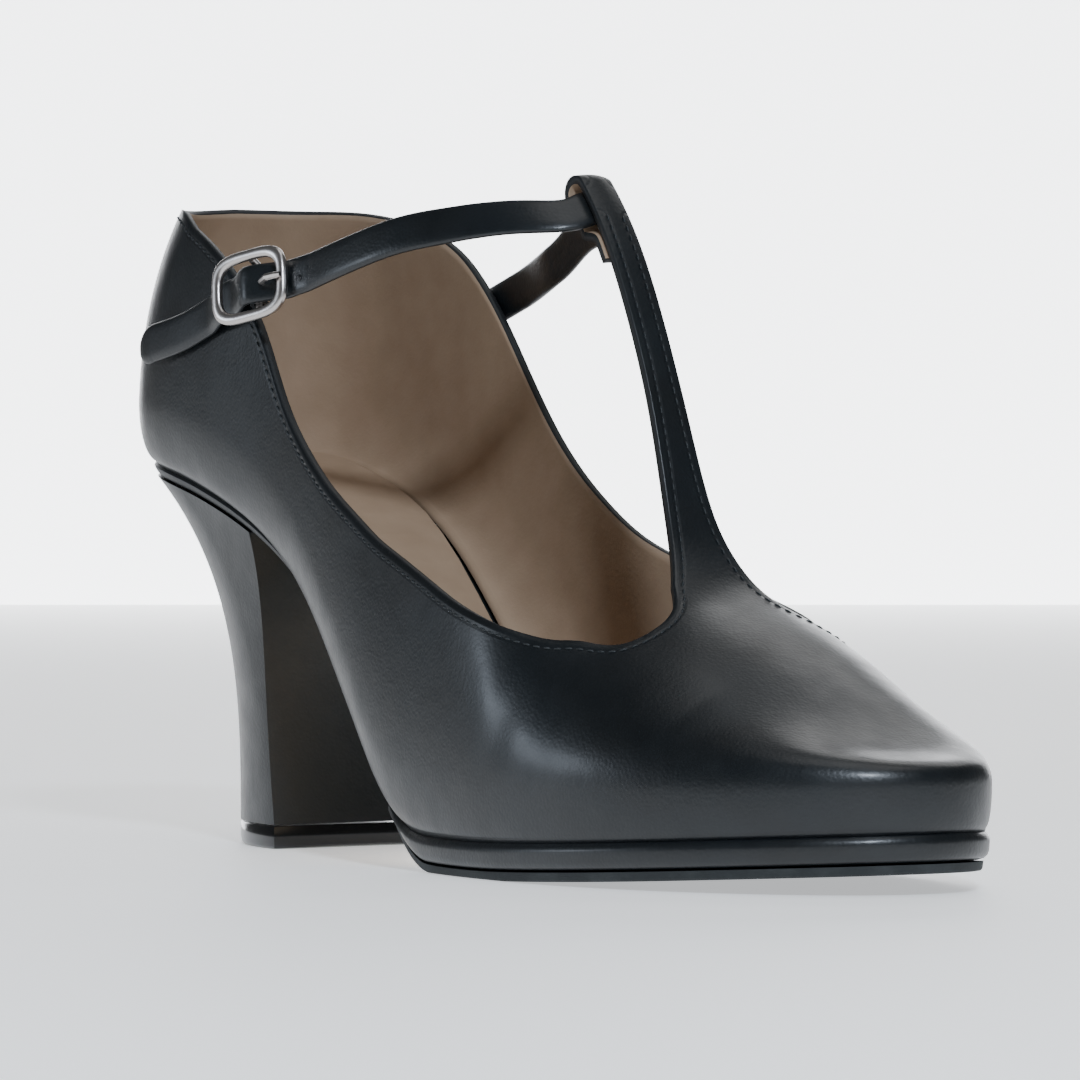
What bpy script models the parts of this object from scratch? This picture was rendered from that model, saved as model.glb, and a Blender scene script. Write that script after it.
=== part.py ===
"""Character shoe for the right foot: T-bar upper, thin platform and high flared heel.

Metres. +X runs to the toe, +Y to the inner side of the foot and +Z up. The origin is on the
floor, in the middle of the heel's tip; lengths below are counted from the back of the seat.
The last is one surface of two parameters. A station says where along the foot: 0 is the back
of the heel, 1 the side of the heel, 2 the ball and 3 the tip of the toe. A turn says how far
round: -1 is the lasted edge on the outer side, 0 the ridge on top and 1 the inner edge.
"""

import bmesh
import bpy
import numpy as np

# The last
LENGTH = 0.236
BALL_WIDTH = 0.074
HEEL_HEIGHT = 0.0765
BACK_HEIGHT = 0.050
VAMP_HEIGHT = 0.0455
BAR_RISE = 0.060
TOE_SPRING = 0.004
TOE_SWING = 0.004
HEEL_ROUND = 0.026
HEEL_LEAN = 0.009
BODY_SWELL = 0.008
SWELL_RISE = 0.020
WALL = 0.0016
CLEARANCE = 0.0003

# Openings beside the T-bar: how far along they end, how deep their round ends are and over
# what length the T-bar widens behind them
THROAT_ALONG = 0.763
THROAT_DEPTH = 0.016
THROAT_BENDS = np.radians([72, 60, 48, 34, 17, 0])
BAR_BEND = np.radians(60)
FLARE_LENGTH = 0.024

# Sole
PLATFORM_THICKNESS = 0.0052
TREAD_THICKNESS = 0.0015
TREAD_FLAT = 0.0002
SOLE_THICKNESS = 0.0027
SHOULDER_RADIUS = 0.0020
PLATFORM_MARGIN = 0.0008
SOLE_JOIN_ALONG = 0.480
INSOLE_THICKNESS = 0.0020
SOLE_JOIN_EASE = 0.085
WAIST_INSETS = (0.0012, 0.0003, -0.0003, 0.0006)
WAIST_BEVEL = 0.0007
PLATFORM_INSETS = (0.0012, -0.0004, 0.0035)
PLATFORM_BEVEL = 0.0008
TREAD_INSETS = (0.0016, 0.0005, 0.0003)
TREAD_BEVEL = 0.0004
INSOLE_INSETS = (0.0006, 0.0, 0.0004)
SHANK_LENGTH = 0.024
SHANK_WIDTH = 0.010
SHANK_THICKNESS = 0.0014
SHANK_AHEAD = 0.0012
RIVET_AHEAD = 0.0075
RIVET_RADIUS = 0.0024
RIVET_HEIGHT = 0.0010

# Heel
BREAST_ALONG = 0.215
TIP_BREAST = 0.0530
TIP_LENGTH = 0.031
TIP_WIDTH = 0.033
TIP_THICKNESS = 0.0045
BREAST_HOLLOW = 0.0025
BREAST_POWER = 4
HEEL_INSET = 0.0004
# How fast the heel narrows below its seat, along and across, and how its tip is rounded behind
HEEL_FALL = 2.8
HEEL_PINCH = 4
HEEL_SPACING = 1.25
TIP_POWER = 1.3
TIP_EDGE = ((0.0010, 0.0), (0.0002, 0.0007), (0.0, 0.0015))

# Straps and buckle
BAR_WIDTH = 0.0070
STRAP_WIDTH = 0.0075
STRAP_THICKNESS = 0.0018
LOOP_TAIL = 0.009
BUCKLE_LENGTH = 0.0188
BUCKLE_WIDTH = 0.0140
BUCKLE_WIRE = 0.0021
BUCKLE_DEPTH = 0.0017
BAR_RADIUS = 0.0007
TAB_THICKNESS = 0.0008
TAB_LENGTH = 0.012
TAB_WIDTH = 0.0066
BUCKLE_TURN = np.radians(12)
BUCKLE_DROP = 0.0026
HOLE_AHEAD = 0.0033
BUCKLE_POWER = 3.6
PRONG_RADIUS = 0.0007
PRONG_BELOW = 0.0013
PRONG_ABOVE = 0.0011
PRONG_REST = 0.0020
PRONG_NOSE = 0.0011
PRONG_SAG = 0.0002
TAIL_LENGTH = 0.045
TAIL_LIFT = 0.0012
STRAP_HOLE = 0.0011
STRAP_SECTION = (
    (-1, -0.55), (-0.86, -1), (0.86, -1), (1, -0.55), (1, 0.4), (0.8, 0.9), (0, 1), (-0.8, 0.9), (-1, 0.4),
)
TAIL_POINTS = np.array([0, 0.0003, 0.0012, 0.0026, 0.0045])
TAIL_WIDTHS = np.sqrt(1 - (1 - np.array([0.12, 0.3, 0.55, 0.82, 1.0])) ** 2)
# The strap runs straight under the T-bar over this many widths of the bar
STRAIGHT_SHARE = 0.85
# A small turn off the strap's own way keeps the rings of round bars from meeting at an edge
RING_NUDGE = np.array([0.013, 0.017, 0.011])

HALF_WIDTH = BALL_WIDTH / 2
HEEL_POWER = 2.15
TOE_POWER = 2.05
SWELL_TURN = 0.25
QUARTER_TURN = np.pi / 2
LEAN_END_ALONG = 0.40
LEAN_FADE = 0.28
TIP_MIDDLE = TIP_BREAST - TIP_LENGTH / 2


def table(columns, rows):
    """Named columns from rows of numbers."""
    return dict(zip(columns.split(), np.array(rows, float).T))


# Half widths of the lasted edge, in shares of half the ball width
OUTLINE = table("along outer inner", [
    (0.110, 0.575, 0.585),
    (0.210, 0.575, 0.560),
    (0.320, 0.550, 0.490),
    (0.430, 0.670, 0.510),
    (0.530, 0.860, 0.720),
    (0.610, 0.960, 0.910),
    (0.680, 0.985, 0.990),
])

# Height of the lasted edge: pitch in shares of the heel, spring in shares of the toe spring
PITCH = table("along pitch spring", [
    (0.000, 1.000, 0.00),
    (0.080, 0.965, 0.00),
    (0.157, 0.898, 0.00),
    (0.233, 0.795, 0.00),
    (0.292, 0.662, 0.00),
    (0.345, 0.500, 0.00),
    (0.396, 0.330, 0.00),
    (0.445, 0.178, 0.00),
    (0.485, 0.072, 0.00),
    (0.530, 0.014, 0.00),
    (0.575, 0.001, 0.00),
    (0.615, 0.000, 0.00),
    (0.650, 0.000, 0.01),
    (0.720, 0.000, 0.14),
    (0.800, 0.000, 0.36),
    (0.900, 0.000, 0.68),
    (1.000, 0.000, 1.00),
])

# The ridge: height over the lasted edge, and its shift to the inner side in half ball widths
RIDGE = table("along vamp bar side", [
    (0.110, 1.00, 0.47, 0.00),
    (0.250, 1.00, 0.90, 0.02),
    (0.420, 1.00, 1.46, 0.06),
    (0.510, 1.00, 1.38, 0.13),
    (0.568, 1.00, 1.18, 0.135),
    (0.602, 1.00, 1.00, 0.125),
    (0.636, 1.00, 0.76, 0.11),
    (0.668, 1.00, 0.47, 0.10),
    (0.692, 1.00, 0.22, 0.10),
    (0.712, 0.99, 0.09, 0.10),
    (0.737, 0.95, 0.01, 0.10),
    (0.770, 0.86, 0.00, 0.10),
    (0.810, 0.75, 0.00, 0.10),
    (0.850, 0.62, 0.00, 0.10),
])
TOE_CENTRE_ALONG = 0.850

# Body of the last: how far the widest line stands out and rises, and how square the section is
BODY = table("along swell rise power", [
    (0.000, 0.25, 0.60, 2.30),
    (0.110, 0.65, 0.70, 2.30),
    (0.250, 0.80, 0.85, 2.05),
    (0.360, 1.00, 1.00, 1.85),
    (0.470, 0.80, 0.90, 1.80),
    (0.570, 0.40, 0.65, 1.90),
    (0.680, 0.22, 0.50, 2.05),
    (0.800, 0.18, 0.42, 2.12),
    (1.000, 0.15, 0.38, 1.95),
])

# Topline of the quarters over the lasted edge, in shares of the back height
TOPLINE = table("station outer inner", [
    (0.00, 0.97, 0.97),
    (0.50, 0.97, 0.98),
    (0.85, 0.98, 1.00),
    (1.03, 0.94, 1.01),
    (1.19, 0.865, 1.02),
    (1.27, 0.790, 1.01),
    (1.34, 0.700, 0.99),
    (1.43, 0.720, 0.95),
    (1.55, 0.850, 0.94),
    (1.70, 0.970, 0.97),
    (1.87, 0.850, 0.855),
    (1.99, 0.750, 0.740),
])

# The front end of the opening on each side: its distance from the ridge, and how far the edge
# of the quarter and the edge of the T-bar turn away from there
THROAT = table("side distance quarter bar", [
    (-1, 0.0215, 0.0110, 0.0130),
    (1, 0.0180, 0.0096, 0.0125),
])

# How much of the quarter's turn away is reached at each bend of the front end, in degrees
QUARTER_ROUND = table("bend share", [
    (0, 0.000),
    (17, 0.305),
    (34, 0.515),
    (48, 0.655),
    (60, 0.795),
    (72, 1.000),
])

# Route of the ankle strap on the last: stations, heights over the floor in shares of the
# height of the T-bar, and the side it runs on
ROUTE = table("station side height", [
    (0.70, -1, 0.816),
    (0.95, -1, 0.860),
    (1.13, -1, 0.912),
    (1.24, -1, 0.948),
    (1.38, -1, 0.980),
    (1.53, -1, 1.022),
    (1.68, -1, 1.063),
    (1.68, 1, 1.060),
    (1.53, 1, 1.010),
    (1.38, 1, 0.965),
    (1.20, 1, 0.915),
    (1.05, 1, 0.880),
])
BUCKLE_STATION = 1.272
LOOP_STATION = 1.806
SLIT_STATION = 1.235

BAR_HEIGHT = PLATFORM_THICKNESS + TREAD_THICKNESS + VAMP_HEIGHT + BAR_RISE


def spline(at, knots, values, level_ends=False):
    """Cubic curve through the values. Its ends are level, or else free of bending."""
    knots = np.asarray(knots, float)
    values = np.asarray(values, float)
    gap = np.diff(knots)
    rise = np.diff(values) / gap
    size = len(knots)
    matrix = np.eye(size)
    right = np.zeros(size)
    if not level_ends:
        matrix[0, :2] = 2, 1
        matrix[-1, -2:] = 1, 2
        right[0], right[-1] = 3 * rise[0], 3 * rise[-1]
    for i in range(1, size - 1):
        matrix[i, i - 1:i + 2] = gap[i], 2 * (gap[i - 1] + gap[i]), gap[i - 1]
        right[i] = 3 * (gap[i] * rise[i - 1] + gap[i - 1] * rise[i])
    slope = np.linalg.solve(matrix, right)
    at = np.clip(np.asarray(at, float), knots[0], knots[-1])
    left = np.clip(np.searchsorted(knots, at, side="right") - 1, 0, size - 2)
    wide = gap[left]
    part = (at - knots[left]) / wide
    return (
        values[left] * (1 + 2 * part) * (1 - part) ** 2
        + values[left + 1] * part ** 2 * (3 - 2 * part)
        + wide * slope[left] * part * (1 - part) ** 2
        + wide * slope[left + 1] * part ** 2 * (part - 1)
    )


def along(x, columns, name, **ends):
    """The named column of a table at the place x."""
    return spline(np.asarray(x) / LENGTH, columns["along"], columns[name], **ends)


BALL_X = OUTLINE["along"][-1] * LENGTH
HEEL_X = HEEL_ROUND
TOE_X = TOE_CENTRE_ALONG * LENGTH
THROAT_X = THROAT_ALONG * LENGTH


def station_at(x):
    """The station of a place along the foot."""
    heel = np.arccos(np.clip(1 - x / HEEL_X, 0, 1) ** (HEEL_POWER / 2)) / QUARTER_TURN
    middle = 1 + np.clip((x - HEEL_X) / (BALL_X - HEEL_X), 0, 1)
    toe = np.clip((x - BALL_X) / (LENGTH - BALL_X), 0, 1) ** (TOE_POWER / 2)
    return np.where(x < HEEL_X, heel, middle + np.arcsin(toe) / QUARTER_TURN)


def edge(station, side):
    """Lasted edge in plan: a rounded heel, a curve of the table, then a rounded toe."""
    heel = np.clip(station, 0, 1) * QUARTER_TURN
    middle = np.clip(station, 1, 2) - 1
    toe = (np.clip(station, 2, 3) - 2) * QUARTER_TURN
    x = HEEL_X * (1 - np.abs(np.cos(heel)) ** (2 / HEEL_POWER))
    x = x + (BALL_X - HEEL_X) * middle
    reach = np.sin(toe) ** (2 / TOE_POWER)
    x = x + (LENGTH - BALL_X) * reach
    wide = np.where(
        side < 0, along(x, OUTLINE, "outer", level_ends=True), along(x, OUTLINE, "inner", level_ends=True)
    )
    rounding = np.sin(heel) ** (2 / HEEL_POWER) * np.abs(np.cos(toe)) ** (2 / TOE_POWER)
    return x, side * HALF_WIDTH * wide * rounding + TOE_SWING * reach ** 2


def edge_height(x):
    """Height of the lasted edge over the floor."""
    ball = PLATFORM_THICKNESS + TREAD_THICKNESS + 2 * CLEARANCE
    pitch = np.clip(along(x, PITCH, "pitch"), 0, None)
    spring = np.clip(along(x, PITCH, "spring"), 0, None)
    return ball + pitch * (HEEL_HEIGHT - ball) + spring * TOE_SPRING


def ridge_height(x):
    """Height of the ridge over the floor, and its y."""
    over = along(x, RIDGE, "vamp") * VAMP_HEIGHT + along(x, RIDGE, "bar") * BAR_RISE
    return edge_height(x) + over, along(x, RIDGE, "side") * HALF_WIDTH


def section(station, side):
    """The sizes of the upright section that runs from the ridge to the lasted edge."""
    x, y = edge(station, side)
    core_x = np.clip(x, HEEL_X, TOE_X)
    top, core_y = ridge_height(core_x)
    base = edge_height(x)
    reach = np.hypot(x - core_x, y - core_y)
    return {
        "core_x": core_x,
        "core_y": core_y,
        "way_x": (x - core_x) / reach,
        "way_y": (y - core_y) / reach,
        "reach": reach,
        "base": base,
        "top": top - base,
        "swell": along(x, BODY, "swell") * BODY_SWELL,
        "rise": along(x, BODY, "rise") * SWELL_RISE,
        "power": along(x, BODY, "power"),
    }


RIDGE_SLOPE = (ridge_height(TOE_X)[0] - ridge_height(TOE_X - 0.002)[0]) / 0.002


def last(station, turn):
    """The last: a quarter ellipse from the edge out to the widest line, then a
    rounded-square curve from there up to the ridge. The heel leans forward as it rises, and
    the top of the toe follows the fall of the ridge."""
    station, turn = np.broadcast_arrays(np.asarray(station, float), np.asarray(turn, float))
    s = section(station, np.where(turn < 0, -1.0, 1.0))
    share = 1 - np.abs(turn)
    low = np.clip(share / SWELL_TURN, 0, 1) * QUARTER_TURN
    high = np.clip((share - SWELL_TURN) / (1 - SWELL_TURN), 0, 1) * QUARTER_TURN
    narrowing = np.abs(np.cos(high)) ** (2 / s["power"])
    out = (s["reach"] + s["swell"] * np.sin(low)) * narrowing
    up = s["rise"] * (1 - np.cos(low)) + (s["top"] - s["rise"]) * np.sin(high) ** (2 / s["power"])
    fade = np.clip((LEAN_END_ALONG - s["core_x"] / LENGTH) / LEAN_FADE, 0, 1)
    lean = HEEL_LEAN * fade ** 2 * (3 - 2 * fade) * np.clip(up / BACK_HEIGHT, 0, 1.2) ** 2
    fall = RIDGE_SLOPE * np.clip(s["way_x"] * out, 0, None) * (1 - narrowing ** 2)
    fall = np.where(s["core_x"] >= TOE_X - 1e-9, fall, 0.0)
    return np.stack([
        s["core_x"] + s["way_x"] * out + lean,
        s["core_y"] + s["way_y"] * out,
        s["base"] + up + fall,
    ], axis=-1)


def turn_at_height(station, side, up):
    """The turn where the section has risen this far over the lasted edge."""
    s = section(station, side)
    share = np.clip((up - s["rise"]) / (s["top"] - s["rise"]), 0, 1)
    high = np.arcsin(share ** (s["power"] / 2)) / QUARTER_TURN
    return side * (1 - SWELL_TURN - (1 - SWELL_TURN) * high)


def turn_at_reach(station, side, out):
    """The turn where the section is this far out from the ridge."""
    s = section(station, side)
    share = np.clip(out / (s["reach"] + s["swell"]), 0, 1)
    high = np.arccos(share ** (s["power"] / 2)) / QUARTER_TURN
    return side * (1 - SWELL_TURN - (1 - SWELL_TURN) * high)


def normals(station, turn):
    """Outward normals of the last, from small steps along and across it."""
    step = 1e-4
    ahead = last(station + step, turn) - last(station - step, turn)
    over = last(station, turn + step) - last(station, turn - step)
    normal = np.cross(ahead, over)
    return normal / np.linalg.norm(normal, axis=-1, keepdims=True)


def paint(name, colour, roughness, metallic=0.0):
    """A plain material of one colour."""
    material = bpy.data.materials.new(name)
    material.use_nodes = True
    shader = material.node_tree.nodes["Principled BSDF"]
    shader.inputs["Base Color"].default_value = (*colour, 1)
    shader.inputs["Roughness"].default_value = roughness
    shader.inputs["Metallic"].default_value = metallic
    return material


def grid_faces(rows, columns, closed=False, flip=False):
    """Quads of a grid, whose rows may close into rings."""
    row = np.arange(rows - 1)[:, None]
    column = np.arange(columns if closed else columns - 1)[None, :]
    beside = (column + 1) % columns
    a, b = row * columns + column, row * columns + beside
    faces = np.stack([a, b, b + columns, a + columns], -1).reshape(-1, 4)
    return faces[:, ::-1] if flip else faces


def joined(name, pieces, material):
    """One object from pieces of points and faces, with the points that meet made one."""
    points, faces, count = [], [], 0
    for places, corners in pieces:
        places = np.asarray(places).reshape(-1, 3)
        points.append(places)
        faces += [[int(corner) + count for corner in face] for face in corners]
        count += len(places)
    mesh = bpy.data.meshes.new(name)
    mesh.from_pydata(np.concatenate(points).tolist(), [], faces)
    work = bmesh.new()
    work.from_mesh(mesh)
    bmesh.ops.remove_doubles(work, verts=work.verts, dist=2e-6)
    bmesh.ops.dissolve_degenerate(work, edges=work.edges, dist=1e-7)
    work.to_mesh(mesh)
    work.free()
    mesh.materials.append(material)
    mesh.shade_smooth()
    mesh.set_sharp_from_angle(angle=np.radians(40))
    piece = bpy.data.objects.new(name, mesh)
    piece.location.x = -TIP_MIDDLE
    bpy.context.scene.collection.objects.link(piece)
    return piece


def lofted(name, rings, material, start_cap=True, end_cap=True):
    """A closed body through rings of points that run the same way round."""
    rings = np.asarray(rings)
    count = rings.shape[1]
    faces = [list(face) for face in grid_faces(len(rings), count, closed=True)]
    if start_cap:
        faces.append(list(range(count))[::-1])
    if end_cap:
        faces.append([(len(rings) - 1) * count + i for i in range(count)])
    return joined(name, [(rings, faces)], material)


def facing_out(piece):
    """Turns the faces of a closed body outwards."""
    work = bmesh.new()
    work.from_mesh(piece.data)
    bmesh.ops.recalc_face_normals(work, faces=work.faces)
    work.to_mesh(piece.data)
    work.free()
    return piece


def edge_ways(station, side):
    """Outward directions of the lasted edge in plan."""
    step = 1e-4
    x0, y0 = edge(np.clip(station - step, 0, 3), side)
    x1, y1 = edge(np.clip(station + step, 0, 3), side)
    way = np.stack([y1 - y0, x0 - x1], -1) * -side
    way /= np.linalg.norm(way, axis=-1, keepdims=True)
    way[station <= 0] = (-1, 0)
    way[station >= 3] = (1, 0)
    return way


def slab(name, stations, rows, material):
    """A sole piece: each station has a ring, up one side and down the other. A row gives how
    far it is inset from the lasted edge and its height as a function of x."""
    half = []
    for side in (-1, 1):
        x, y = edge(stations, side)
        way = edge_ways(stations, side)
        half.append([
            np.stack([x - way[:, 0] * inset, y - way[:, 1] * inset, height(x - way[:, 0] * inset)], -1)
            for inset, height in rows
        ])
    rings = np.stack(half[0] + half[1][::-1], axis=1)
    return facing_out(lofted(name, rings, material, stations[0] > 0, stations[-1] < 3))


def upper_stations():
    """Stations of the upper, closer together round the front of the openings."""
    throat = THROAT_X - THROAT_DEPTH * (1 - np.cos(THROAT_BENDS))
    behind = np.linspace(HEEL_X, throat[0], 22)[:-1]
    heel = np.linspace(0, 1, 8)[:-1]
    vamp = np.linspace(THROAT_X, TOE_X, 5)[1:]
    toe = np.linspace(station_at(TOE_X), 3, 9)[1:]
    stations = np.concatenate([heel, station_at(behind), station_at(throat), station_at(vamp), toe])
    return stations, station_at(throat)


def opening_front(side, arc):
    """Distances from the ridge of the two edges of an opening, round its front end."""
    row = int(side > 0)
    turned = spline(np.degrees(arc), QUARTER_ROUND["bend"], QUARTER_ROUND["share"])
    quarter = THROAT["distance"][row] + THROAT["quarter"][row] * turned
    bar = THROAT["distance"][row] - THROAT["bar"][row] * np.sin(arc)
    return quarter, bar


def topline_turn(stations, side):
    """Turn of the top of the quarters, which runs on as an unseen line through the vamp."""
    bends = THROAT_BENDS[:3]
    front = station_at(THROAT_X - THROAT_DEPTH * (1 - np.cos(bends)))
    turn = turn_at_reach(front, side, opening_front(side, bends)[0])
    x, _ = edge(front, side)
    heights = last(front, turn)[:, 2] - edge_height(x)
    name = "outer" if side < 0 else "inner"
    knots = np.concatenate([TOPLINE["station"], front])
    values = np.concatenate([TOPLINE[name] * BACK_HEIGHT, heights])
    quarter = turn_at_height(stations, side, spline(stations, knots, values))
    place, _ = edge(stations, side)
    bend = np.arccos(np.clip(1 - (THROAT_X - place) / THROAT_DEPTH, -1, 1))
    round_front = turn_at_reach(stations, side, opening_front(side, bend)[0])
    shares = []
    for each in (side, -side):
        s = section(station_at(np.array(THROAT_X)), each)
        shares.append(opening_front(each, 0)[0] / (s["reach"] + s["swell"]))
    to_tip = np.clip((stations - station_at(THROAT_X)) / (3 - station_at(THROAT_X)), 0, 1)
    share = shares[0] + (shares[1] - shares[0]) * to_tip / 2
    own = section(stations, side)
    vamp = turn_at_reach(stations, side, share * (own["reach"] + own["swell"]))
    turn = np.where(stations < front[0], quarter, round_front)
    return np.where(place >= THROAT_X - 1e-9, vamp, turn)


def bar_edge(x, side):
    """Distance of the edge of the T-bar from the ridge, wider towards the vamp."""
    bend = np.arccos(np.clip(1 - (THROAT_X - x) / THROAT_DEPTH, np.cos(BAR_BEND), 1))
    start = THROAT_X - THROAT_DEPTH * (1 - np.cos(BAR_BEND))
    wide = opening_front(side, BAR_BEND)[1]
    flare = np.clip((x - (start - FLARE_LENGTH)) / FLARE_LENGTH, 0, 1)
    behind = BAR_WIDTH / 2 + (wide - BAR_WIDTH / 2) * flare ** 3
    return np.where(x < start, behind, opening_front(side, bend)[1])


LOOP_X = HEEL_X + (LOOP_STATION - 1) * (BALL_X - HEEL_X)
LOOP_ROUND = STRAP_THICKNESS / 2 + WALL + 2.5 * CLEARANCE


def ridge_path(x):
    """Points and outward normals of the ridge, in its own upright plane."""
    step = 1e-4
    height, _ = ridge_height(x)
    slope = (ridge_height(x + step)[0] - ridge_height(x - step)[0]) / (2 * step)
    normal = np.stack([-slope, np.ones_like(slope)], -1)
    return np.stack([x, height], -1), normal / np.linalg.norm(normal, axis=-1, keepdims=True)


def ridge_places(distances):
    """Places along the ridge at these distances up from the middle of the strap."""
    dense = np.linspace(THROAT_X, LOOP_X - 0.030, 400)
    path, _ = ridge_path(dense)
    run = np.concatenate([[0], np.cumsum(np.linalg.norm(np.diff(path, axis=0), axis=1))])
    middle = np.interp(-LOOP_X, -dense, run)
    return np.interp(middle + np.asarray(distances), run, dense)


def bar_columns(rows, throat_stations, front_steps=13, fold_steps=6, back_steps=7):
    """The T-bar: up the ridge, over the strap and down behind it, as columns of points."""
    top = STRAP_WIDTH / 2 + CLEARANCE
    top_x = float(ridge_places([top])[0])
    throat_x, _ = edge(throat_stations, 1.0)
    front_x = np.linspace(throat_x[0], top_x, front_steps)[1:]
    columns = []
    for x in np.concatenate([throat_x[::-1], front_x]):
        station = station_at(np.array(x))
        side = np.where(rows < 0, -1.0, 1.0)
        out = [abs(row) * float(bar_edge(x, way)) for row, way in zip(rows, side)]
        turns = turn_at_reach(np.full(len(rows), float(station)), side, np.array(out))
        columns.append(last(np.full(len(rows), float(station)), turns))
    path, normal = ridge_path(np.array([top_x]))
    over, facing = path[0], normal[0]
    upward = np.array([-facing[1], facing[0]])
    rounding = (over - columns[-1][:, [0, 2]]) @ facing

    def column(place, centre_y, facing):
        """A row of points across the bar, as rounded as its front."""
        at = place - facing * rounding[:, None]
        return np.stack([at[:, 0], centre_y + rows * BAR_WIDTH / 2, at[:, 1]], -1)

    for bend in np.linspace(0, np.pi, fold_steps + 1)[1:]:
        turned = facing * (np.cos(bend) - 1) + upward * np.sin(bend)
        columns.append(column(over + turned * LOOP_ROUND, ridge_height(top_x)[1], facing))
    length = STRAP_WIDTH + 2 * CLEARANCE + LOOP_TAIL
    closed = 2 * WALL + CLEARANCE
    for run in np.linspace(0, length, back_steps + 1)[1:]:
        place = ridge_places([top - run])
        path, normal = ridge_path(place)
        ease = np.clip((run - STRAP_WIDTH - 4 * CLEARANCE) / 0.004, 0, 1)
        ease = ease ** 2 * (3 - 2 * ease)
        behind = 2 * LOOP_ROUND + (closed - 2 * LOOP_ROUND) * ease
        columns.append(column(path[0] - normal[0] * behind, ridge_height(place[0])[1], normal[0]))
    return np.array(columns)


def upper(material):
    """The whole upper as one sheet on the last, given its thickness inwards."""
    stations, throat_stations = upper_stations()
    pieces = []
    for side in (-1.0, 1.0):
        top = topline_turn(stations, side)
        shares = np.concatenate([[0, 0.08, 0.17], np.linspace(SWELL_TURN, 1, 7)])
        turn = side * (1 - (1 - np.abs(top))[:, None] * shares[None, :])
        points = last(stations[:, None], turn)
        pieces.append((points, grid_faces(*points.shape[:2], flip=side < 0)))
    rows = np.linspace(-1, 1, 7)
    vamp = stations[stations >= throat_stations[-1] - 1e-9]
    turns = []
    for share in rows:
        side = -1.0 if share < 0 else 1.0
        whole = 1 - np.abs(topline_turn(vamp, side))
        own = section(vamp, side)
        reach = own["reach"] + own["swell"]
        out = np.abs(np.cos((whole - SWELL_TURN) / (1 - SWELL_TURN) * QUARTER_TURN)) ** (2 / own["power"])
        turns.append(turn_at_reach(vamp, side, np.abs(share) * out * reach))
    crown = last(vamp[:, None], np.stack(turns, -1))
    pieces.append((crown, grid_faces(*crown.shape[:2], flip=True)))
    bar = bar_columns(rows, throat_stations)
    pieces.append((bar, grid_faces(*bar.shape[:2])))
    piece = joined("upper", pieces, material)
    wall = piece.modifiers.new("wall", "SOLIDIFY")
    wall.thickness = WALL
    wall.offset = -1
    wall.use_even_offset = False
    return piece


def sole_top(x):
    return edge_height(x) - CLEARANCE


def sole_underside(x):
    return sole_top(x) - SOLE_THICKNESS


def platform_underside(x):
    """Level with the waist sole at the join, then down to the full thickness."""
    join = SOLE_JOIN_ALONG * LENGTH
    ease = np.clip((x - join) / (SOLE_JOIN_EASE * LENGTH), 0, 1)
    ease = ease ** 2 * (3 - 2 * ease)
    return sole_top(x) - SOLE_THICKNESS - (PLATFORM_THICKNESS - SOLE_THICKNESS) * ease


def tread_top(x):
    return platform_underside(x) - CLEARANCE


def tread_underside(x):
    """A little under its thickness, cut off level where the shoe stands."""
    return np.clip(tread_top(x) - TREAD_THICKNESS - TREAD_FLAT, 0, None)


def insole(material):
    stations = np.concatenate([np.linspace(0, 1, 8)[:-1], np.linspace(1, 2, 20)[:-1], np.linspace(2, 3, 12)])
    inset = WALL + 2 * CLEARANCE
    low, middle, high = (inset + more for more in INSOLE_INSETS)
    return slab("insole", stations, [
        (low, edge_height),
        (middle, lambda x: edge_height(x) + INSOLE_THICKNESS / 3),
        (high, lambda x: edge_height(x) + INSOLE_THICKNESS),
    ], material)


def waist_sole(material):
    end = float(station_at(np.array(SOLE_JOIN_ALONG * LENGTH)))
    stations = np.concatenate([np.linspace(0, 1, 9)[:-1], np.linspace(1, end, 18)])
    low, lower, upper_edge, high = WAIST_INSETS
    return slab("waist_sole", stations, [
        (low, sole_underside),
        (lower, lambda x: sole_underside(x) + WAIST_BEVEL),
        (upper_edge, lambda x: sole_top(x) - WAIST_BEVEL),
        (high, sole_top),
    ], material)


def platform(material):
    start = float(station_at(np.array(SOLE_JOIN_ALONG * LENGTH + 1.5 * CLEARANCE)))
    stations = np.concatenate([np.linspace(start, 2, 12)[:-1], np.linspace(2, 3, 15)])
    low, lower, high = PLATFORM_INSETS
    rows = [(low, platform_underside), (lower, lambda x: platform_underside(x) + PLATFORM_BEVEL)]
    for bend in np.radians([0, 30, 60, 85]):
        inset = -PLATFORM_MARGIN + SHOULDER_RADIUS * (1 - np.cos(bend))
        drop = SHOULDER_RADIUS * (1 - np.sin(bend))
        rows.append((inset, lambda x, drop=drop: sole_top(x) - drop))
    rows.append((high, sole_top))
    return slab("platform", stations, rows, material)


def tread(material):
    start = float(station_at(np.array(SOLE_JOIN_ALONG * LENGTH + CLEARANCE)))
    stations = np.concatenate([np.linspace(start, 2, 12)[:-1], np.linspace(2, 3, 15)])
    low, lower, high = TREAD_INSETS
    return slab("tread", stations, [
        (low, tread_underside),
        (lower, lambda x: tread_underside(x) + TREAD_BEVEL),
        (high, tread_top),
    ], material)


def heel_tip_ring(inset, count=13):
    """The D-shaped plan of the tip, straight at the breast and narrower to the back."""
    bend = np.linspace(-1, 1, count) * QUARTER_TURN
    x = TIP_BREAST - inset - (TIP_LENGTH - 2 * inset) * np.cos(bend) ** TIP_POWER
    y = (TIP_WIDTH / 2 - inset) * np.sin(bend)
    return x, y


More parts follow.
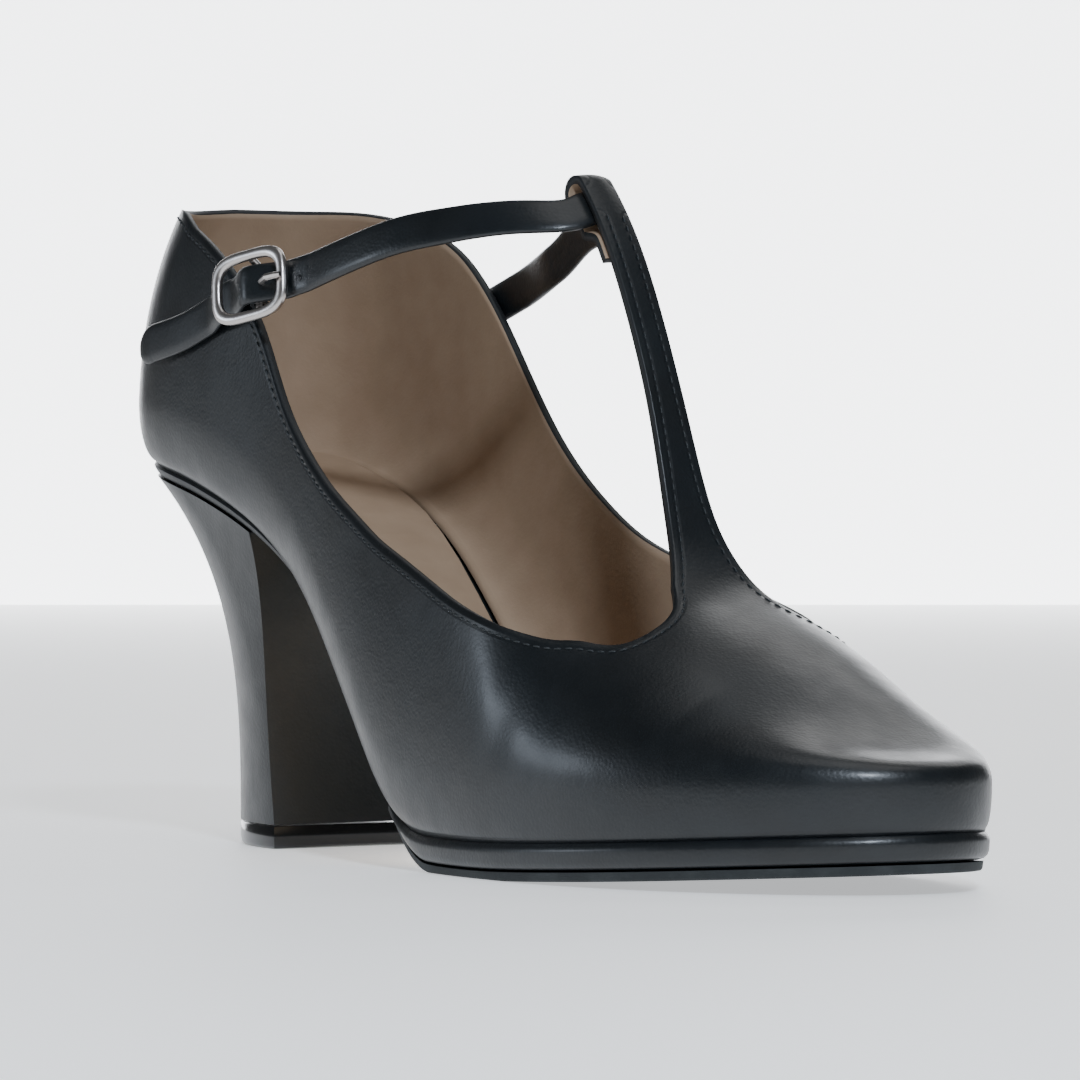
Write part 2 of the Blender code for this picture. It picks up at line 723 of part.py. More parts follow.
def heel(material):
    """The heel: rings from the seat down to the tip, flared at the top, hollow at the breast."""
    count = 21
    around = np.linspace(-1, 1, count)
    breast = float(station_at(np.array(BREAST_ALONG * LENGTH)))
    stations = breast * np.abs(around)
    way = np.stack([edge_ways(stations, side) for side in (-1, 1)])
    plan = np.stack([np.stack(edge(stations, side), -1) for side in (-1, 1)]) - way * HEEL_INSET
    seat = np.where((around < 0)[:, None], plan[0], plan[1])
    low_x, low_y = heel_tip_ring(0.0, count)
    rings = []
    for down in np.linspace(0, 1, 13) ** HEEL_SPACING:
        x = low_x + (seat[:, 0] - low_x) * (1 - down) ** HEEL_FALL
        y = low_y + (seat[:, 1] - low_y) * (1 - down) ** HEEL_PINCH
        x = x - BREAST_HOLLOW * np.sin(np.pi * down) * np.abs(around) ** BREAST_POWER
        high = sole_underside(seat[:, 0]) - CLEARANCE
        z = high + (TIP_THICKNESS + CLEARANCE - high) * down
        rings.append(np.stack([x, y, z], -1))
    rings = np.array(rings)
    faces = [list(face) for face in grid_faces(len(rings), count, closed=True)]
    faces.append([(len(rings) - 1) * count + i for i in range(count)])
    for i in range(count // 2 - 1):
        faces.append([i, i + 1, count - 2 - i, count - 1 - i])
    middle = count // 2
    faces.append([middle - 1, middle, middle + 1])
    return facing_out(joined("heel", [(rings, faces)], material))


def heel_tip(material):
    rings = []
    for inset, z in (*TIP_EDGE, (0.0, TIP_THICKNESS)):
        x, y = heel_tip_ring(inset)
        rings.append(np.stack([x, y, np.full_like(x, z)], -1))
    return facing_out(lofted("heel_tip", rings, material))


def shank_plate(material):
    """A flat steel strip on the waist sole, from the heel breast forward."""
    start = BREAST_ALONG * LENGTH + SHANK_AHEAD
    x = np.linspace(start, start + SHANK_LENGTH, 8)
    top = sole_underside(x) - CLEARANCE
    corners = [(-1, 0), (1, 0), (1, -1), (-1, -1)]
    rings = np.stack([
        np.stack([x, np.full_like(x, side * SHANK_WIDTH / 2), top + down * SHANK_THICKNESS], -1)
        for side, down in corners
    ], axis=1)
    return facing_out(lofted("shank_plate", rings, material))


def shank_rivet(material):
    """A domed head on the shank plate, near the heel."""
    x = BREAST_ALONG * LENGTH + RIVET_AHEAD
    slope = float(sole_underside(x + 0.001) - sole_underside(x - 0.001)) / 0.002
    ahead = np.array([1, 0, slope]) / np.hypot(1, slope)
    down = np.array([slope, 0, -1]) / np.hypot(1, slope)
    seat = np.array([x, 0, float(sole_underside(x)) - CLEARANCE - SHANK_THICKNESS])
    turn = np.linspace(0, 2 * np.pi, 13)[:-1]
    rings = []
    for wide, deep in ((1.0, 0.0), (1.0, 0.3), (0.8, 0.75), (0.35, 1.0)):
        middle = seat + down * (CLEARANCE * 1.2 + RIVET_HEIGHT * deep)
        ring = middle + RIVET_RADIUS * wide * (
            np.cos(turn)[:, None] * ahead + np.sin(turn)[:, None] * np.array([0, 1, 0])
        )
        rings.append(ring)
    return facing_out(lofted("shank_rivet", rings, material))


def strap_route(count=700):
    """Dense stations and turns of the ankle strap, from its tail round to the slit."""
    x, _ = edge(ROUTE["station"], ROUTE["side"])
    up = ROUTE["height"] * BAR_HEIGHT - edge_height(x)
    turn = np.array([
        float(turn_at_height(np.array(station), side, rise))
        for station, side, rise in zip(ROUTE["station"], ROUTE["side"], up)
    ])
    top = int(np.sum(ROUTE["side"] < 0))
    loop = np.full(2, LOOP_STATION)
    straight = turn_at_reach(loop, np.array([-1.0, 1.0]), BAR_WIDTH * STRAIGHT_SHARE)
    stations = np.insert(ROUTE["station"], top, [LOOP_STATION] * 3)
    turns = np.insert(turn, top, [straight[0], 0.0, straight[1]])
    run = np.concatenate([[0], np.cumsum(np.linalg.norm(np.diff(last(stations, turns), axis=0), axis=1))])
    at = np.linspace(0, run[-1], count)
    return spline(at, run, stations), spline(at, run, turns)


ROUTE_STATIONS, ROUTE_TURNS = strap_route()
ROUTE_POINTS = last(ROUTE_STATIONS, ROUTE_TURNS)
ROUTE_NORMALS = normals(ROUTE_STATIONS, ROUTE_TURNS)
ROUTE_RUN = np.concatenate([[0], np.cumsum(np.linalg.norm(np.diff(ROUTE_POINTS, axis=0), axis=1))])
OUTER_HALF = ROUTE_TURNS < 0
BUCKLE_RUN = float(np.interp(BUCKLE_STATION, ROUTE_STATIONS[OUTER_HALF], ROUTE_RUN[OUTER_HALF]))
LOOP_RUN = float(ROUTE_RUN[np.argmin(np.abs(ROUTE_TURNS))])
SLIT_RUN = float(np.interp(-SLIT_STATION, -ROUTE_STATIONS[~OUTER_HALF], ROUTE_RUN[~OUTER_HALF]))


def strap_space(distance, offset, across):
    """Places given by the distance in front of the buckle along the strap's route, the
    offset out of the last and the distance across."""
    run = np.asarray(distance) + BUCKLE_RUN
    middle, normal, ahead = [], [], []
    for axis in range(3):
        middle.append(np.interp(run, ROUTE_RUN, ROUTE_POINTS[:, axis]))
        normal.append(np.interp(run, ROUTE_RUN, ROUTE_NORMALS[:, axis]))
        ahead.append(
            np.interp(run + 0.001, ROUTE_RUN, ROUTE_POINTS[:, axis])
            - np.interp(run - 0.001, ROUTE_RUN, ROUTE_POINTS[:, axis])
        )
    middle, normal, ahead = np.stack(middle, -1), np.stack(normal, -1), np.stack(ahead, -1)
    normal /= np.linalg.norm(normal, axis=-1, keepdims=True)
    width = np.cross(normal, ahead)
    width /= np.linalg.norm(width, axis=-1, keepdims=True)
    return middle + normal * np.asarray(offset)[..., None] + width * np.asarray(across)[..., None]


def strap_offsets(distance):
    """Offset of the middle of the strap from the last: on the quarter, up over the tab and
    the centre bar of the buckle, then in under the T-bar and out again onto the quarter."""
    low = CLEARANCE + STRAP_THICKNESS / 2
    over_tab = 2 * TAB_THICKNESS + 3 * CLEARANCE + STRAP_THICKNESS / 2
    side = BUCKLE_LENGTH / 2 - BUCKLE_WIRE / 2
    over_bar = bar_offset() + BAR_RADIUS + TAB_THICKNESS + 2 * CLEARANCE + STRAP_THICKNESS / 2
    front = frame_offset() - side * np.tan(BUCKLE_TURN)
    under_frame = front - BUCKLE_DEPTH / 2 - 2 * CLEARANCE - STRAP_THICKNESS / 2
    inside = -(WALL + 1.5 * CLEARANCE + STRAP_THICKNESS / 2)
    loop = LOOP_RUN - BUCKLE_RUN
    slit = SLIT_RUN - BUCKLE_RUN
    # Each knot gives a distance in front of the buckle and the offset there: the lifted tail,
    # onto the tab, over the centre bar, under the frame's front side, flat again, inside the
    # T-bar's loop, and out onto the inner quarter
    knots = [
        (-TAIL_LENGTH, low + TAIL_LIFT),
        (-TAB_LENGTH - 0.008, low),
        (-TAB_LENGTH + 0.001, over_tab),
        (-side, over_tab),
        (-0.0006, over_bar),
        (side, under_frame),
        (side + 0.006, under_frame * 0.5),
        (loop - 0.008, inside),
        (loop + 0.008, inside),
        (slit - 0.034, 0.0003),
        (slit - 0.018, low + 0.0006),
        (slit, low),
    ]
    places, offsets = (np.array(column) for column in zip(*knots))
    left = np.clip(np.searchsorted(places, distance, side="right") - 1, 0, len(places) - 2)
    part = np.clip((distance - places[left]) / (places[left + 1] - places[left]), 0, 1)
    part = part ** 2 * (3 - 2 * part)
    return offsets[left] + (offsets[left + 1] - offsets[left]) * part


def frame_offset():
    """How far the middle of the buckle's frame lies out of the last."""
    return 2 * TAB_THICKNESS + 4 * CLEARANCE + STRAP_THICKNESS + BUCKLE_DEPTH / 2


def bar_offset():
    """How far the middle of the buckle's centre bar lies out of the last."""
    return frame_offset() - BUCKLE_DROP


def buckle_space(ahead, offset, across):
    """Places in the straight frame of the buckle, which is turned in towards its front end."""
    ahead, offset, across = (np.asarray(value, float)[..., None] for value in (ahead, offset, across))
    base = strap_space(0.0, 0.0, 0.0)
    out = strap_space(0.0, 1.0, 0.0) - base
    wide = strap_space(0.0, 0.0, 1.0) - base
    on = np.cross(wide, out)
    turned_on = on * np.cos(BUCKLE_TURN) - out * np.sin(BUCKLE_TURN)
    turned_out = out * np.cos(BUCKLE_TURN) + on * np.sin(BUCKLE_TURN)
    centre = base + out * frame_offset()
    return centre + turned_on * ahead + turned_out * (offset - frame_offset()) + wide * across


def ankle_strap(material):
    side = BUCKLE_LENGTH / 2
    slit = SLIT_RUN - BUCKLE_RUN
    distance = np.concatenate([
        -TAIL_LENGTH + TAIL_POINTS,
        np.linspace(-TAIL_LENGTH + 2 * TAIL_POINTS[-1], -side - 0.002, 8),
        np.linspace(-side, side, 17),
        np.linspace(side + 0.003, slit, 36),
    ])
    half = np.full_like(distance, STRAP_WIDTH / 2)
    half[:len(TAIL_WIDTHS)] *= TAIL_WIDTHS
    offset = strap_offsets(distance)
    thick = STRAP_THICKNESS / 2
    rings = np.stack([
        strap_space(distance, offset + out * thick, half * wide) for wide, out in STRAP_SECTION
    ], axis=1)
    piece = facing_out(lofted("ankle_strap", rings, material))
    cutter = rod("strap_hole", prong_hole_points(), [STRAP_HOLE] * 2, material, sides=12)
    cutter.hide_render = True
    cutter.display_type = "WIRE"
    hole = piece.modifiers.new("hole", "BOOLEAN")
    hole.operation = "DIFFERENCE"
    hole.solver = "EXACT"
    hole.object = cutter
    return piece


def rod(name, path, radii, material, sides=8, flat=1.0):
    """A round bar along a path, with the radius at each of its points."""
    path = np.asarray(path, float)
    ahead = np.gradient(path, axis=0)
    ahead /= np.linalg.norm(ahead, axis=1, keepdims=True)
    first = np.cross(ahead, strap_normal())
    first /= np.linalg.norm(first, axis=1, keepdims=True)
    second = np.cross(ahead, first)
    turn = np.linspace(0, 2 * np.pi, sides + 1)[:-1]
    rings = path[:, None] + np.asarray(radii)[:, None, None] * (
        np.cos(turn)[None, :, None] * first[:, None] + flat * np.sin(turn)[None, :, None] * second[:, None]
    )
    return facing_out(lofted(name, rings, material))


def strap_normal():
    """Direction out of the shoe's side at the buckle, turned a little off its own path."""
    out = strap_space(0.0, 0.001, 0.0) - strap_space(0.0, 0.0, 0.0)
    return out / np.linalg.norm(out) + RING_NUDGE


def prong_hole_points():
    """The ends of the hole's cutter, along the way the prong goes through the strap."""
    middle = strap_space(HOLE_AHEAD, float(strap_offsets(np.array(HOLE_AHEAD))), 0.0)
    out = buckle_space(0.0, 1.0, 0.0) - buckle_space(0.0, 0.0, 0.0)
    return [middle - out * STRAP_THICKNESS * 1.4, middle + out * STRAP_THICKNESS * 1.4]


def buckle_frame(material):
    """A rounded-square ring of flattened wire with a bar across its middle."""
    turn = np.linspace(0, 2 * np.pi, 33)[:-1]
    around = []
    for angle in np.linspace(0, 2 * np.pi, 9)[:-1] + np.pi / 8:
        out = BUCKLE_WIRE / 2 * np.cos(angle)
        lift = BUCKLE_DEPTH / 2 * np.sin(angle)
        long = (BUCKLE_LENGTH - BUCKLE_WIRE) / 2 + out
        wide = (BUCKLE_WIDTH - BUCKLE_WIRE) / 2 + out
        ahead = long * np.sign(np.cos(turn)) * np.abs(np.cos(turn)) ** (2 / BUCKLE_POWER)
        across = wide * np.sign(np.sin(turn)) * np.abs(np.sin(turn)) ** (2 / BUCKLE_POWER)
        around.append(buckle_space(ahead, np.full_like(turn, frame_offset() + lift), across))
    rings = np.stack(around, axis=1)
    rings = np.concatenate([rings, rings[:1]])
    piece = facing_out(lofted("buckle_frame", rings, material, False, False))
    reach = (BUCKLE_WIDTH - BUCKLE_WIRE) / 2
    across = np.array([-1, -0.86, -0.7, 0.7, 0.86, 1]) * reach
    offset = frame_offset() - BUCKLE_DROP * np.array([0, 0.35, 1, 1, 0.35, 0])
    bar = rod("centre_bar", buckle_space(np.zeros(6), offset, across), [BAR_RADIUS] * 6, material)
    bar.hide_render = True
    bar.display_type = "WIRE"
    union = piece.modifiers.new("centre_bar", "BOOLEAN")
    union.operation = "UNION"
    union.solver = "EXACT"
    union.object = bar
    return piece


def buckle_prong(material):
    """A bent wire from below the strap, up through its hole and out onto the frame."""
    low, high = prong_hole_points()
    side = BUCKLE_LENGTH / 2 - BUCKLE_WIRE / 2
    top = frame_offset() + BUCKLE_DEPTH / 2 + CLEARANCE + PRONG_RADIUS
    ends = [side - PRONG_REST, side, side + PRONG_NOSE]
    rest = buckle_space(ends, [top + PRONG_SAG, top, top - PRONG_SAG], np.zeros(3))
    middle = (low + high) / 2
    rise = (high - low) / np.linalg.norm(high - low)
    path = [middle - rise * PRONG_BELOW, middle, middle + rise * PRONG_ABOVE, *rest]
    radii = np.array([0.7, 0.85, 0.95, 1.0, 1.0, 0.7]) * PRONG_RADIUS
    return rod("buckle_prong", path, radii, material)


def buckle_tab(material):
    """A strip folded round the centre bar, its two layers lying back on the quarter."""
    inner = BAR_RADIUS + CLEARANCE
    outer = inner + TAB_THICKNESS
    back = -BUCKLE_DROP * np.sin(BUCKLE_TURN)
    centre = frame_offset() - BUCKLE_DROP * np.cos(BUCKLE_TURN)
    base = CLEARANCE
    top = base + 2 * TAB_THICKNESS
    bend = np.radians(np.linspace(130, -130, 11))
    outline = [(-TAB_LENGTH, base), (-TAB_LENGTH, top), (back - outer * 1.9, top)]
    outline += [(back + outer * np.cos(a), centre + outer * np.sin(a)) for a in bend]
    outline += [(back - outer * 1.9, base)]
    distance, offset = np.array(outline).T
    half = TAB_WIDTH / 2
    rings = np.stack([
        strap_space(distance, offset, np.full_like(distance, across)) for across in (-half, half)
    ])
    piece = facing_out(lofted("buckle_tab", rings, material))
    bore = rod("tab_bore", [
        buckle_space(0.0, bar_offset(), -half - 0.001),
        buckle_space(0.0, bar_offset(), half + 0.001),
    ], [inner] * 2, material, sides=12)
    bore.hide_render = True
    bore.display_type = "WIRE"
    cut = piece.modifiers.new("bore", "BOOLEAN")
    cut.operation = "DIFFERENCE"
    cut.solver = "EXACT"
    cut.object = bore
    return piece


def clear_scene():
    for piece in list(bpy.data.objects):
        bpy.data.objects.remove(piece)


def main():
    clear_scene()
    leather = paint("black_leather", (0.018, 0.022, 0.025), 0.35)
    lining = paint("lining_leather", (0.35, 0.27, 0.20), 0.6)
    tan = paint("tan_leather", (0.78, 0.62, 0.44), 0.55)
    rubber = paint("black_tread", (0.02, 0.022, 0.024), 0.8)
    nylon = paint("tip_plastic", (0.012, 0.012, 0.014), 0.25)
    steel = paint("shank_steel", (0.42, 0.42, 0.41), 0.4, 1.0)
    nickel = paint("buckle_nickel", (0.66, 0.64, 0.61), 0.3, 1.0)
    upper(leather)
    insole(lining)
    waist_sole(tan)
    platform(leather)
    tread(rubber)
    heel(leather)
    heel_tip(nylon)
    shank_plate(steel)
    shank_rivet(steel)
    ankle_strap(leather)
    buckle_frame(nickel)
    buckle_prong(nickel)
    buckle_tab(leather)


main()
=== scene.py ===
"""Looks of the character shoe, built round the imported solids.

Metres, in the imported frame: +X to the toe, +Y to the inner side of the foot, +Z up, with the
origin on the floor in the middle of the heel's tip. Every piece follows the last, a surface
of a station along the foot and a turn round it, at a finer step than the solids.
"""

import bmesh
import bpy
import numpy as np
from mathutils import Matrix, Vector


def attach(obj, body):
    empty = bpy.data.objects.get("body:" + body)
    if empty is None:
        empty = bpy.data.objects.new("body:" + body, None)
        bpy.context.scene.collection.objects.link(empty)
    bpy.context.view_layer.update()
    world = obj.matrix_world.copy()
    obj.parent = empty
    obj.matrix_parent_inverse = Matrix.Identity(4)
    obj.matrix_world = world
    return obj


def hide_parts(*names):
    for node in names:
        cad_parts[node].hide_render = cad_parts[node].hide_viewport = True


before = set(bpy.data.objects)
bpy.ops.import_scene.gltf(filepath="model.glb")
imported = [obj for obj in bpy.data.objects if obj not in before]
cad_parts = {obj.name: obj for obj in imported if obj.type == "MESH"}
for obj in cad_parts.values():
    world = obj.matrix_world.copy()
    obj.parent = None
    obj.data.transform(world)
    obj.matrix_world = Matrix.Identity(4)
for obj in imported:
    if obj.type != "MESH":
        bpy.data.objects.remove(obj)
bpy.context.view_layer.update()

# The last
LENGTH = 0.236
BALL_WIDTH = 0.074
HEEL_HEIGHT = 0.0765
BACK_HEIGHT = 0.050
VAMP_HEIGHT = 0.0455
BAR_RISE = 0.060
TOE_SPRING = 0.004
TOE_SWING = 0.004
HEEL_ROUND = 0.026
HEEL_LEAN = 0.009
BODY_SWELL = 0.008
SWELL_RISE = 0.020
WALL = 0.0016
CLEARANCE = 0.0003

# Openings beside the T-bar: how far along they end, how deep their round ends are and over
# what length the T-bar widens behind them
THROAT_ALONG = 0.763
THROAT_DEPTH = 0.016
THROAT_BENDS = np.radians([72, 60, 48, 34, 17, 0])
BAR_BEND = np.radians(60)
FLARE_LENGTH = 0.024

# Sole
PLATFORM_THICKNESS = 0.0052
TREAD_THICKNESS = 0.0015
TREAD_FLAT = 0.0002
SOLE_THICKNESS = 0.0027
SHOULDER_RADIUS = 0.0020
PLATFORM_MARGIN = 0.0008
SOLE_JOIN_ALONG = 0.480

# Heel
BREAST_ALONG = 0.215
TIP_BREAST = 0.0530
TIP_LENGTH = 0.031
TIP_WIDTH = 0.033
TIP_THICKNESS = 0.0045
BREAST_HOLLOW = 0.0025
HEEL_INSET = 0.0004

# Straps and buckle
BAR_WIDTH = 0.0070
STRAP_WIDTH = 0.0075
STRAP_THICKNESS = 0.0018
LOOP_TAIL = 0.009
BUCKLE_LENGTH = 0.0188
BUCKLE_WIDTH = 0.0140
BUCKLE_WIRE = 0.0021
BUCKLE_DEPTH = 0.0017
BAR_RADIUS = 0.0007
TAB_THICKNESS = 0.0008
TAB_LENGTH = 0.012
BUCKLE_TURN = np.radians(12)
BUCKLE_DROP = 0.0026
BUCKLE_POWER = 3.6
TAIL_LENGTH = 0.045
TAIL_LIFT = 0.0012

HALF_WIDTH = BALL_WIDTH / 2
HEEL_POWER = 2.15
TOE_POWER = 2.05
SWELL_TURN = 0.25
QUARTER_TURN = np.pi / 2
LEAN_END_ALONG = 0.40
LEAN_FADE = 0.28
TIP_MIDDLE = TIP_BREAST - TIP_LENGTH / 2
SOLE_JOIN_EASE = 0.085
SLOPE_STEP = 0.002
STEP = 1e-4
NEAR = 1e-9

# How the heel goes from its seat to the tip: powers of its fall, of its narrowing, of the hollow
# of its breast, of the tip's plan and of the spacing of its rings
HEEL_FALL = 2.8
HEEL_PINCH = 4
BREAST_POWER = 4
TIP_POWER = 1.3
HEEL_SPACING = 1.25

# The strap's way: how far it runs straight through the loop, in widths of the T-bar; where it
# comes up behind and over the tab and the bar, down in front of the frame, in and out at the
# loop, and onto the inner quarter, with its lifts there; and the ease of the loop's tail
STRAIGHT_SHARE = 0.85
TAB_REAR = 0.008
TAB_FRONT = 0.001
BAR_FRONT = 0.0006
FRAME_FRONT = 0.006
LOOP_REACH = 0.008
INNER_START = 0.034
INNER_LANDING = 0.018
INNER_LIFT = 0.0003
LANDING_LIFT = 0.0006
WAY_STEP = 0.001
TAIL_EASE = 0.004
RIDGE_REACH = 0.030

# Values of the looks
MERGE = 2e-6
SHARP = np.radians(45)
GRAIN_SIZE = 0.0006
TAIL_TIP = 0.0045
SLIT_DIVE = 0.0035
SLIT_DEPTH = 0.0005
PIN_HOLES = ((0.0135, 0.0007), (0.0117, -0.0009))
HOLE_RADIUS = 0.00055
INK_WIDTH = 0.0020
WORLD_STRENGTH = 0.10
FLOOR_STRENGTH = 0.6
FLOOR_REACH = 6.0
BACKDROP_STRENGTH = 4.0
BACKDROP_DISTANCE = 2.5
BACKDROP_WIDTH = 2.4
BACKDROP_HEIGHT = 1.2

# Camera: its target and distance are the photograph's; the lens frames the one shoe
VIEW_AZIMUTH = 56
VIEW_HEIGHT = 0.5
VIEW_DISTANCE = 1.2
VIEW_TARGET = (0.0825, 0.0, 0.06)
SENSOR = 36
FOCAL = 216


def table(columns, rows):
    """Named columns from rows of numbers."""
    return dict(zip(columns.split(), np.array(rows, float).T))


def smooth(value):
    """An ease from 0 to 1, level at both ends."""
    value = np.clip(value, 0, 1)
    return value * value * (3 - 2 * value)


def unit(vectors):
    """The vectors at a length of one."""
    return vectors / np.linalg.norm(vectors, axis=-1, keepdims=True)


def run_along(points):
    """How far along a path each of its points lies."""
    return np.concatenate([[0], np.cumsum(np.linalg.norm(np.diff(points, axis=0), axis=1))])


def follow(at, knots, values):
    """Points between the knots of a path."""
    return np.stack([np.interp(at, knots, values[:, axis]) for axis in range(3)], -1)


def circle(count):
    """Angles of an even ring."""
    return np.linspace(0, 2 * np.pi, count + 1)[:-1]


def signed_power(value, power):
    """A power that keeps the sign."""
    return np.sign(value) * np.abs(value) ** power


# Half widths of the lasted edge, in shares of half the ball width
OUTLINE = table("along outer inner", [
    (0.110, 0.575, 0.585),
    (0.210, 0.575, 0.560),
    (0.320, 0.550, 0.490),
    (0.430, 0.670, 0.510),
    (0.530, 0.860, 0.720),
    (0.610, 0.960, 0.910),
    (0.680, 0.985, 0.990),
])

# Height of the lasted edge: pitch in shares of the heel, spring in shares of the toe spring
PITCH = table("along pitch spring", [
    (0.000, 1.000, 0.00),
    (0.080, 0.965, 0.00),
    (0.157, 0.898, 0.00),
    (0.233, 0.795, 0.00),
    (0.292, 0.662, 0.00),
    (0.345, 0.500, 0.00),
    (0.396, 0.330, 0.00),
    (0.445, 0.178, 0.00),
    (0.485, 0.072, 0.00),
    (0.530, 0.014, 0.00),
    (0.575, 0.001, 0.00),
    (0.615, 0.000, 0.00),
    (0.650, 0.000, 0.01),
    (0.720, 0.000, 0.14),
    (0.800, 0.000, 0.36),
    (0.900, 0.000, 0.68),
    (1.000, 0.000, 1.00),
])

# The ridge: height over the lasted edge, and its shift to the inner side in half ball widths
RIDGE = table("along vamp bar side", [
    (0.110, 1.00, 0.47, 0.00),
    (0.250, 1.00, 0.90, 0.02),
    (0.420, 1.00, 1.46, 0.06),
    (0.510, 1.00, 1.38, 0.13),
    (0.568, 1.00, 1.18, 0.135),
    (0.602, 1.00, 1.00, 0.125),
    (0.636, 1.00, 0.76, 0.11),
    (0.668, 1.00, 0.47, 0.10),
    (0.692, 1.00, 0.22, 0.10),
    (0.712, 0.99, 0.09, 0.10),
    (0.737, 0.95, 0.01, 0.10),
    (0.770, 0.86, 0.00, 0.10),
    (0.810, 0.75, 0.00, 0.10),
    (0.850, 0.62, 0.00, 0.10),
])
TOE_CENTRE_ALONG = 0.850

# Body of the last: how far the widest line stands out and rises, and how square the section is
BODY = table("along swell rise power", [
    (0.000, 0.25, 0.60, 2.30),
    (0.110, 0.65, 0.70, 2.30),
    (0.250, 0.80, 0.85, 2.05),
    (0.360, 1.00, 1.00, 1.85),
    (0.470, 0.80, 0.90, 1.80),
    (0.570, 0.40, 0.65, 1.90),
    (0.680, 0.22, 0.50, 2.05),
    (0.800, 0.18, 0.42, 2.12),
    (1.000, 0.15, 0.38, 1.95),
])

# Topline of the quarters over the lasted edge, in shares of the back height
TOPLINE = table("station outer inner", [
    (0.00, 0.97, 0.97),
    (0.50, 0.97, 0.98),
    (0.85, 0.98, 1.00),
    (1.03, 0.94, 1.01),
    (1.19, 0.865, 1.02),
    (1.27, 0.790, 1.01),
    (1.34, 0.700, 0.99),
    (1.43, 0.720, 0.95),
    (1.55, 0.850, 0.94),
    (1.70, 0.970, 0.97),
    (1.87, 0.850, 0.855),
    (1.99, 0.750, 0.740),
])

# The front end of the opening on each side: its distance from the ridge, and how far the edge
# of the quarter and the edge of the T-bar turn away from there
THROAT = table("side distance quarter bar", [
    (-1, 0.0215, 0.0110, 0.0130),
    (1, 0.0180, 0.0096, 0.0125),
])

# How much of the quarter's turn away is reached at each bend of the front end, in degrees
QUARTER_ROUND = table("bend share", [
    (0, 0.000),
    (17, 0.305),
    (34, 0.515),
    (48, 0.655),
    (60, 0.795),
    (72, 1.000),
])

# Route of the ankle strap on the last: stations, heights over the floor in shares of the
# height of the T-bar, and the side it runs on
ROUTE = table("station side height", [
    (0.70, -1, 0.816),
    (0.95, -1, 0.860),
    (1.13, -1, 0.912),
    (1.24, -1, 0.948),
    (1.38, -1, 0.980),
    (1.53, -1, 1.022),
    (1.68, -1, 1.063),
    (1.68, 1, 1.060),
    (1.53, 1, 1.010),
    (1.38, 1, 0.965),
    (1.20, 1, 0.915),
    (1.05, 1, 0.880),
])
BUCKLE_STATION = 1.272
LOOP_STATION = 1.806
SLIT_STATION = 1.235

BAR_HEIGHT = PLATFORM_THICKNESS + TREAD_THICKNESS + VAMP_HEIGHT + BAR_RISE


def spline(at, knots, values, level_ends=False):
    """Cubic curve through the values. Its ends are level, or else free of bending."""
    knots = np.asarray(knots, float)
    values = np.asarray(values, float)
    gap = np.diff(knots)
    rise = np.diff(values) / gap
    size = len(knots)
    matrix = np.eye(size)
    right = np.zeros(size)
    if not level_ends:
        matrix[0, :2] = 2, 1
        matrix[-1, -2:] = 1, 2
        right[0], right[-1] = 3 * rise[0], 3 * rise[-1]
    for i in range(1, size - 1):
        matrix[i, i - 1:i + 2] = gap[i], 2 * (gap[i - 1] + gap[i]), gap[i - 1]
        right[i] = 3 * (gap[i] * rise[i - 1] + gap[i - 1] * rise[i])
    slope = np.linalg.solve(matrix, right)
    at = np.clip(np.asarray(at, float), knots[0], knots[-1])
    left = np.clip(np.searchsorted(knots, at, side="right") - 1, 0, size - 2)
    wide = gap[left]
    part = (at - knots[left]) / wide
    return (
        values[left] * (1 + 2 * part) * (1 - part) ** 2
        + values[left + 1] * part ** 2 * (3 - 2 * part)
        + wide * slope[left] * part * (1 - part) ** 2
        + wide * slope[left + 1] * part ** 2 * (part - 1)
    )


def along(x, columns, name, **ends):
    """The named column of a table at the place x."""
    return spline(np.asarray(x) / LENGTH, columns["along"], columns[name], **ends)


BALL_X = OUTLINE["along"][-1] * LENGTH
HEEL_X = HEEL_ROUND
TOE_X = TOE_CENTRE_ALONG * LENGTH
THROAT_X = THROAT_ALONG * LENGTH


def station_at(x):
    """The station of a place along the foot."""
    heel = np.arccos(np.clip(1 - x / HEEL_X, 0, 1) ** (HEEL_POWER / 2)) / QUARTER_TURN
    middle = 1 + np.clip((x - HEEL_X) / (BALL_X - HEEL_X), 0, 1)
    toe = np.clip((x - BALL_X) / (LENGTH - BALL_X), 0, 1) ** (TOE_POWER / 2)
    return np.where(x < HEEL_X, heel, middle + np.arcsin(toe) / QUARTER_TURN)


def edge(station, side):
    """Lasted edge in plan: a rounded heel, a curve of the table, then a rounded toe."""
    heel = np.clip(station, 0, 1) * QUARTER_TURN
    middle = np.clip(station, 1, 2) - 1
    toe = (np.clip(station, 2, 3) - 2) * QUARTER_TURN
    x = HEEL_X * (1 - np.abs(np.cos(heel)) ** (2 / HEEL_POWER))
    x = x + (BALL_X - HEEL_X) * middle
    reach = np.sin(toe) ** (2 / TOE_POWER)
    x = x + (LENGTH - BALL_X) * reach
    outer = along(x, OUTLINE, "outer", level_ends=True)
    inner = along(x, OUTLINE, "inner", level_ends=True)
    wide = np.where(side < 0, outer, inner)
    rounding = np.sin(heel) ** (2 / HEEL_POWER) * np.abs(np.cos(toe)) ** (2 / TOE_POWER)
    return x, side * HALF_WIDTH * wide * rounding + TOE_SWING * reach ** 2


def edge_height(x):
    """Height of the lasted edge over the floor."""
    ball = PLATFORM_THICKNESS + TREAD_THICKNESS + 2 * CLEARANCE
    pitch = np.clip(along(x, PITCH, "pitch"), 0, None)
    spring = np.clip(along(x, PITCH, "spring"), 0, None)
    return ball + pitch * (HEEL_HEIGHT - ball) + spring * TOE_SPRING


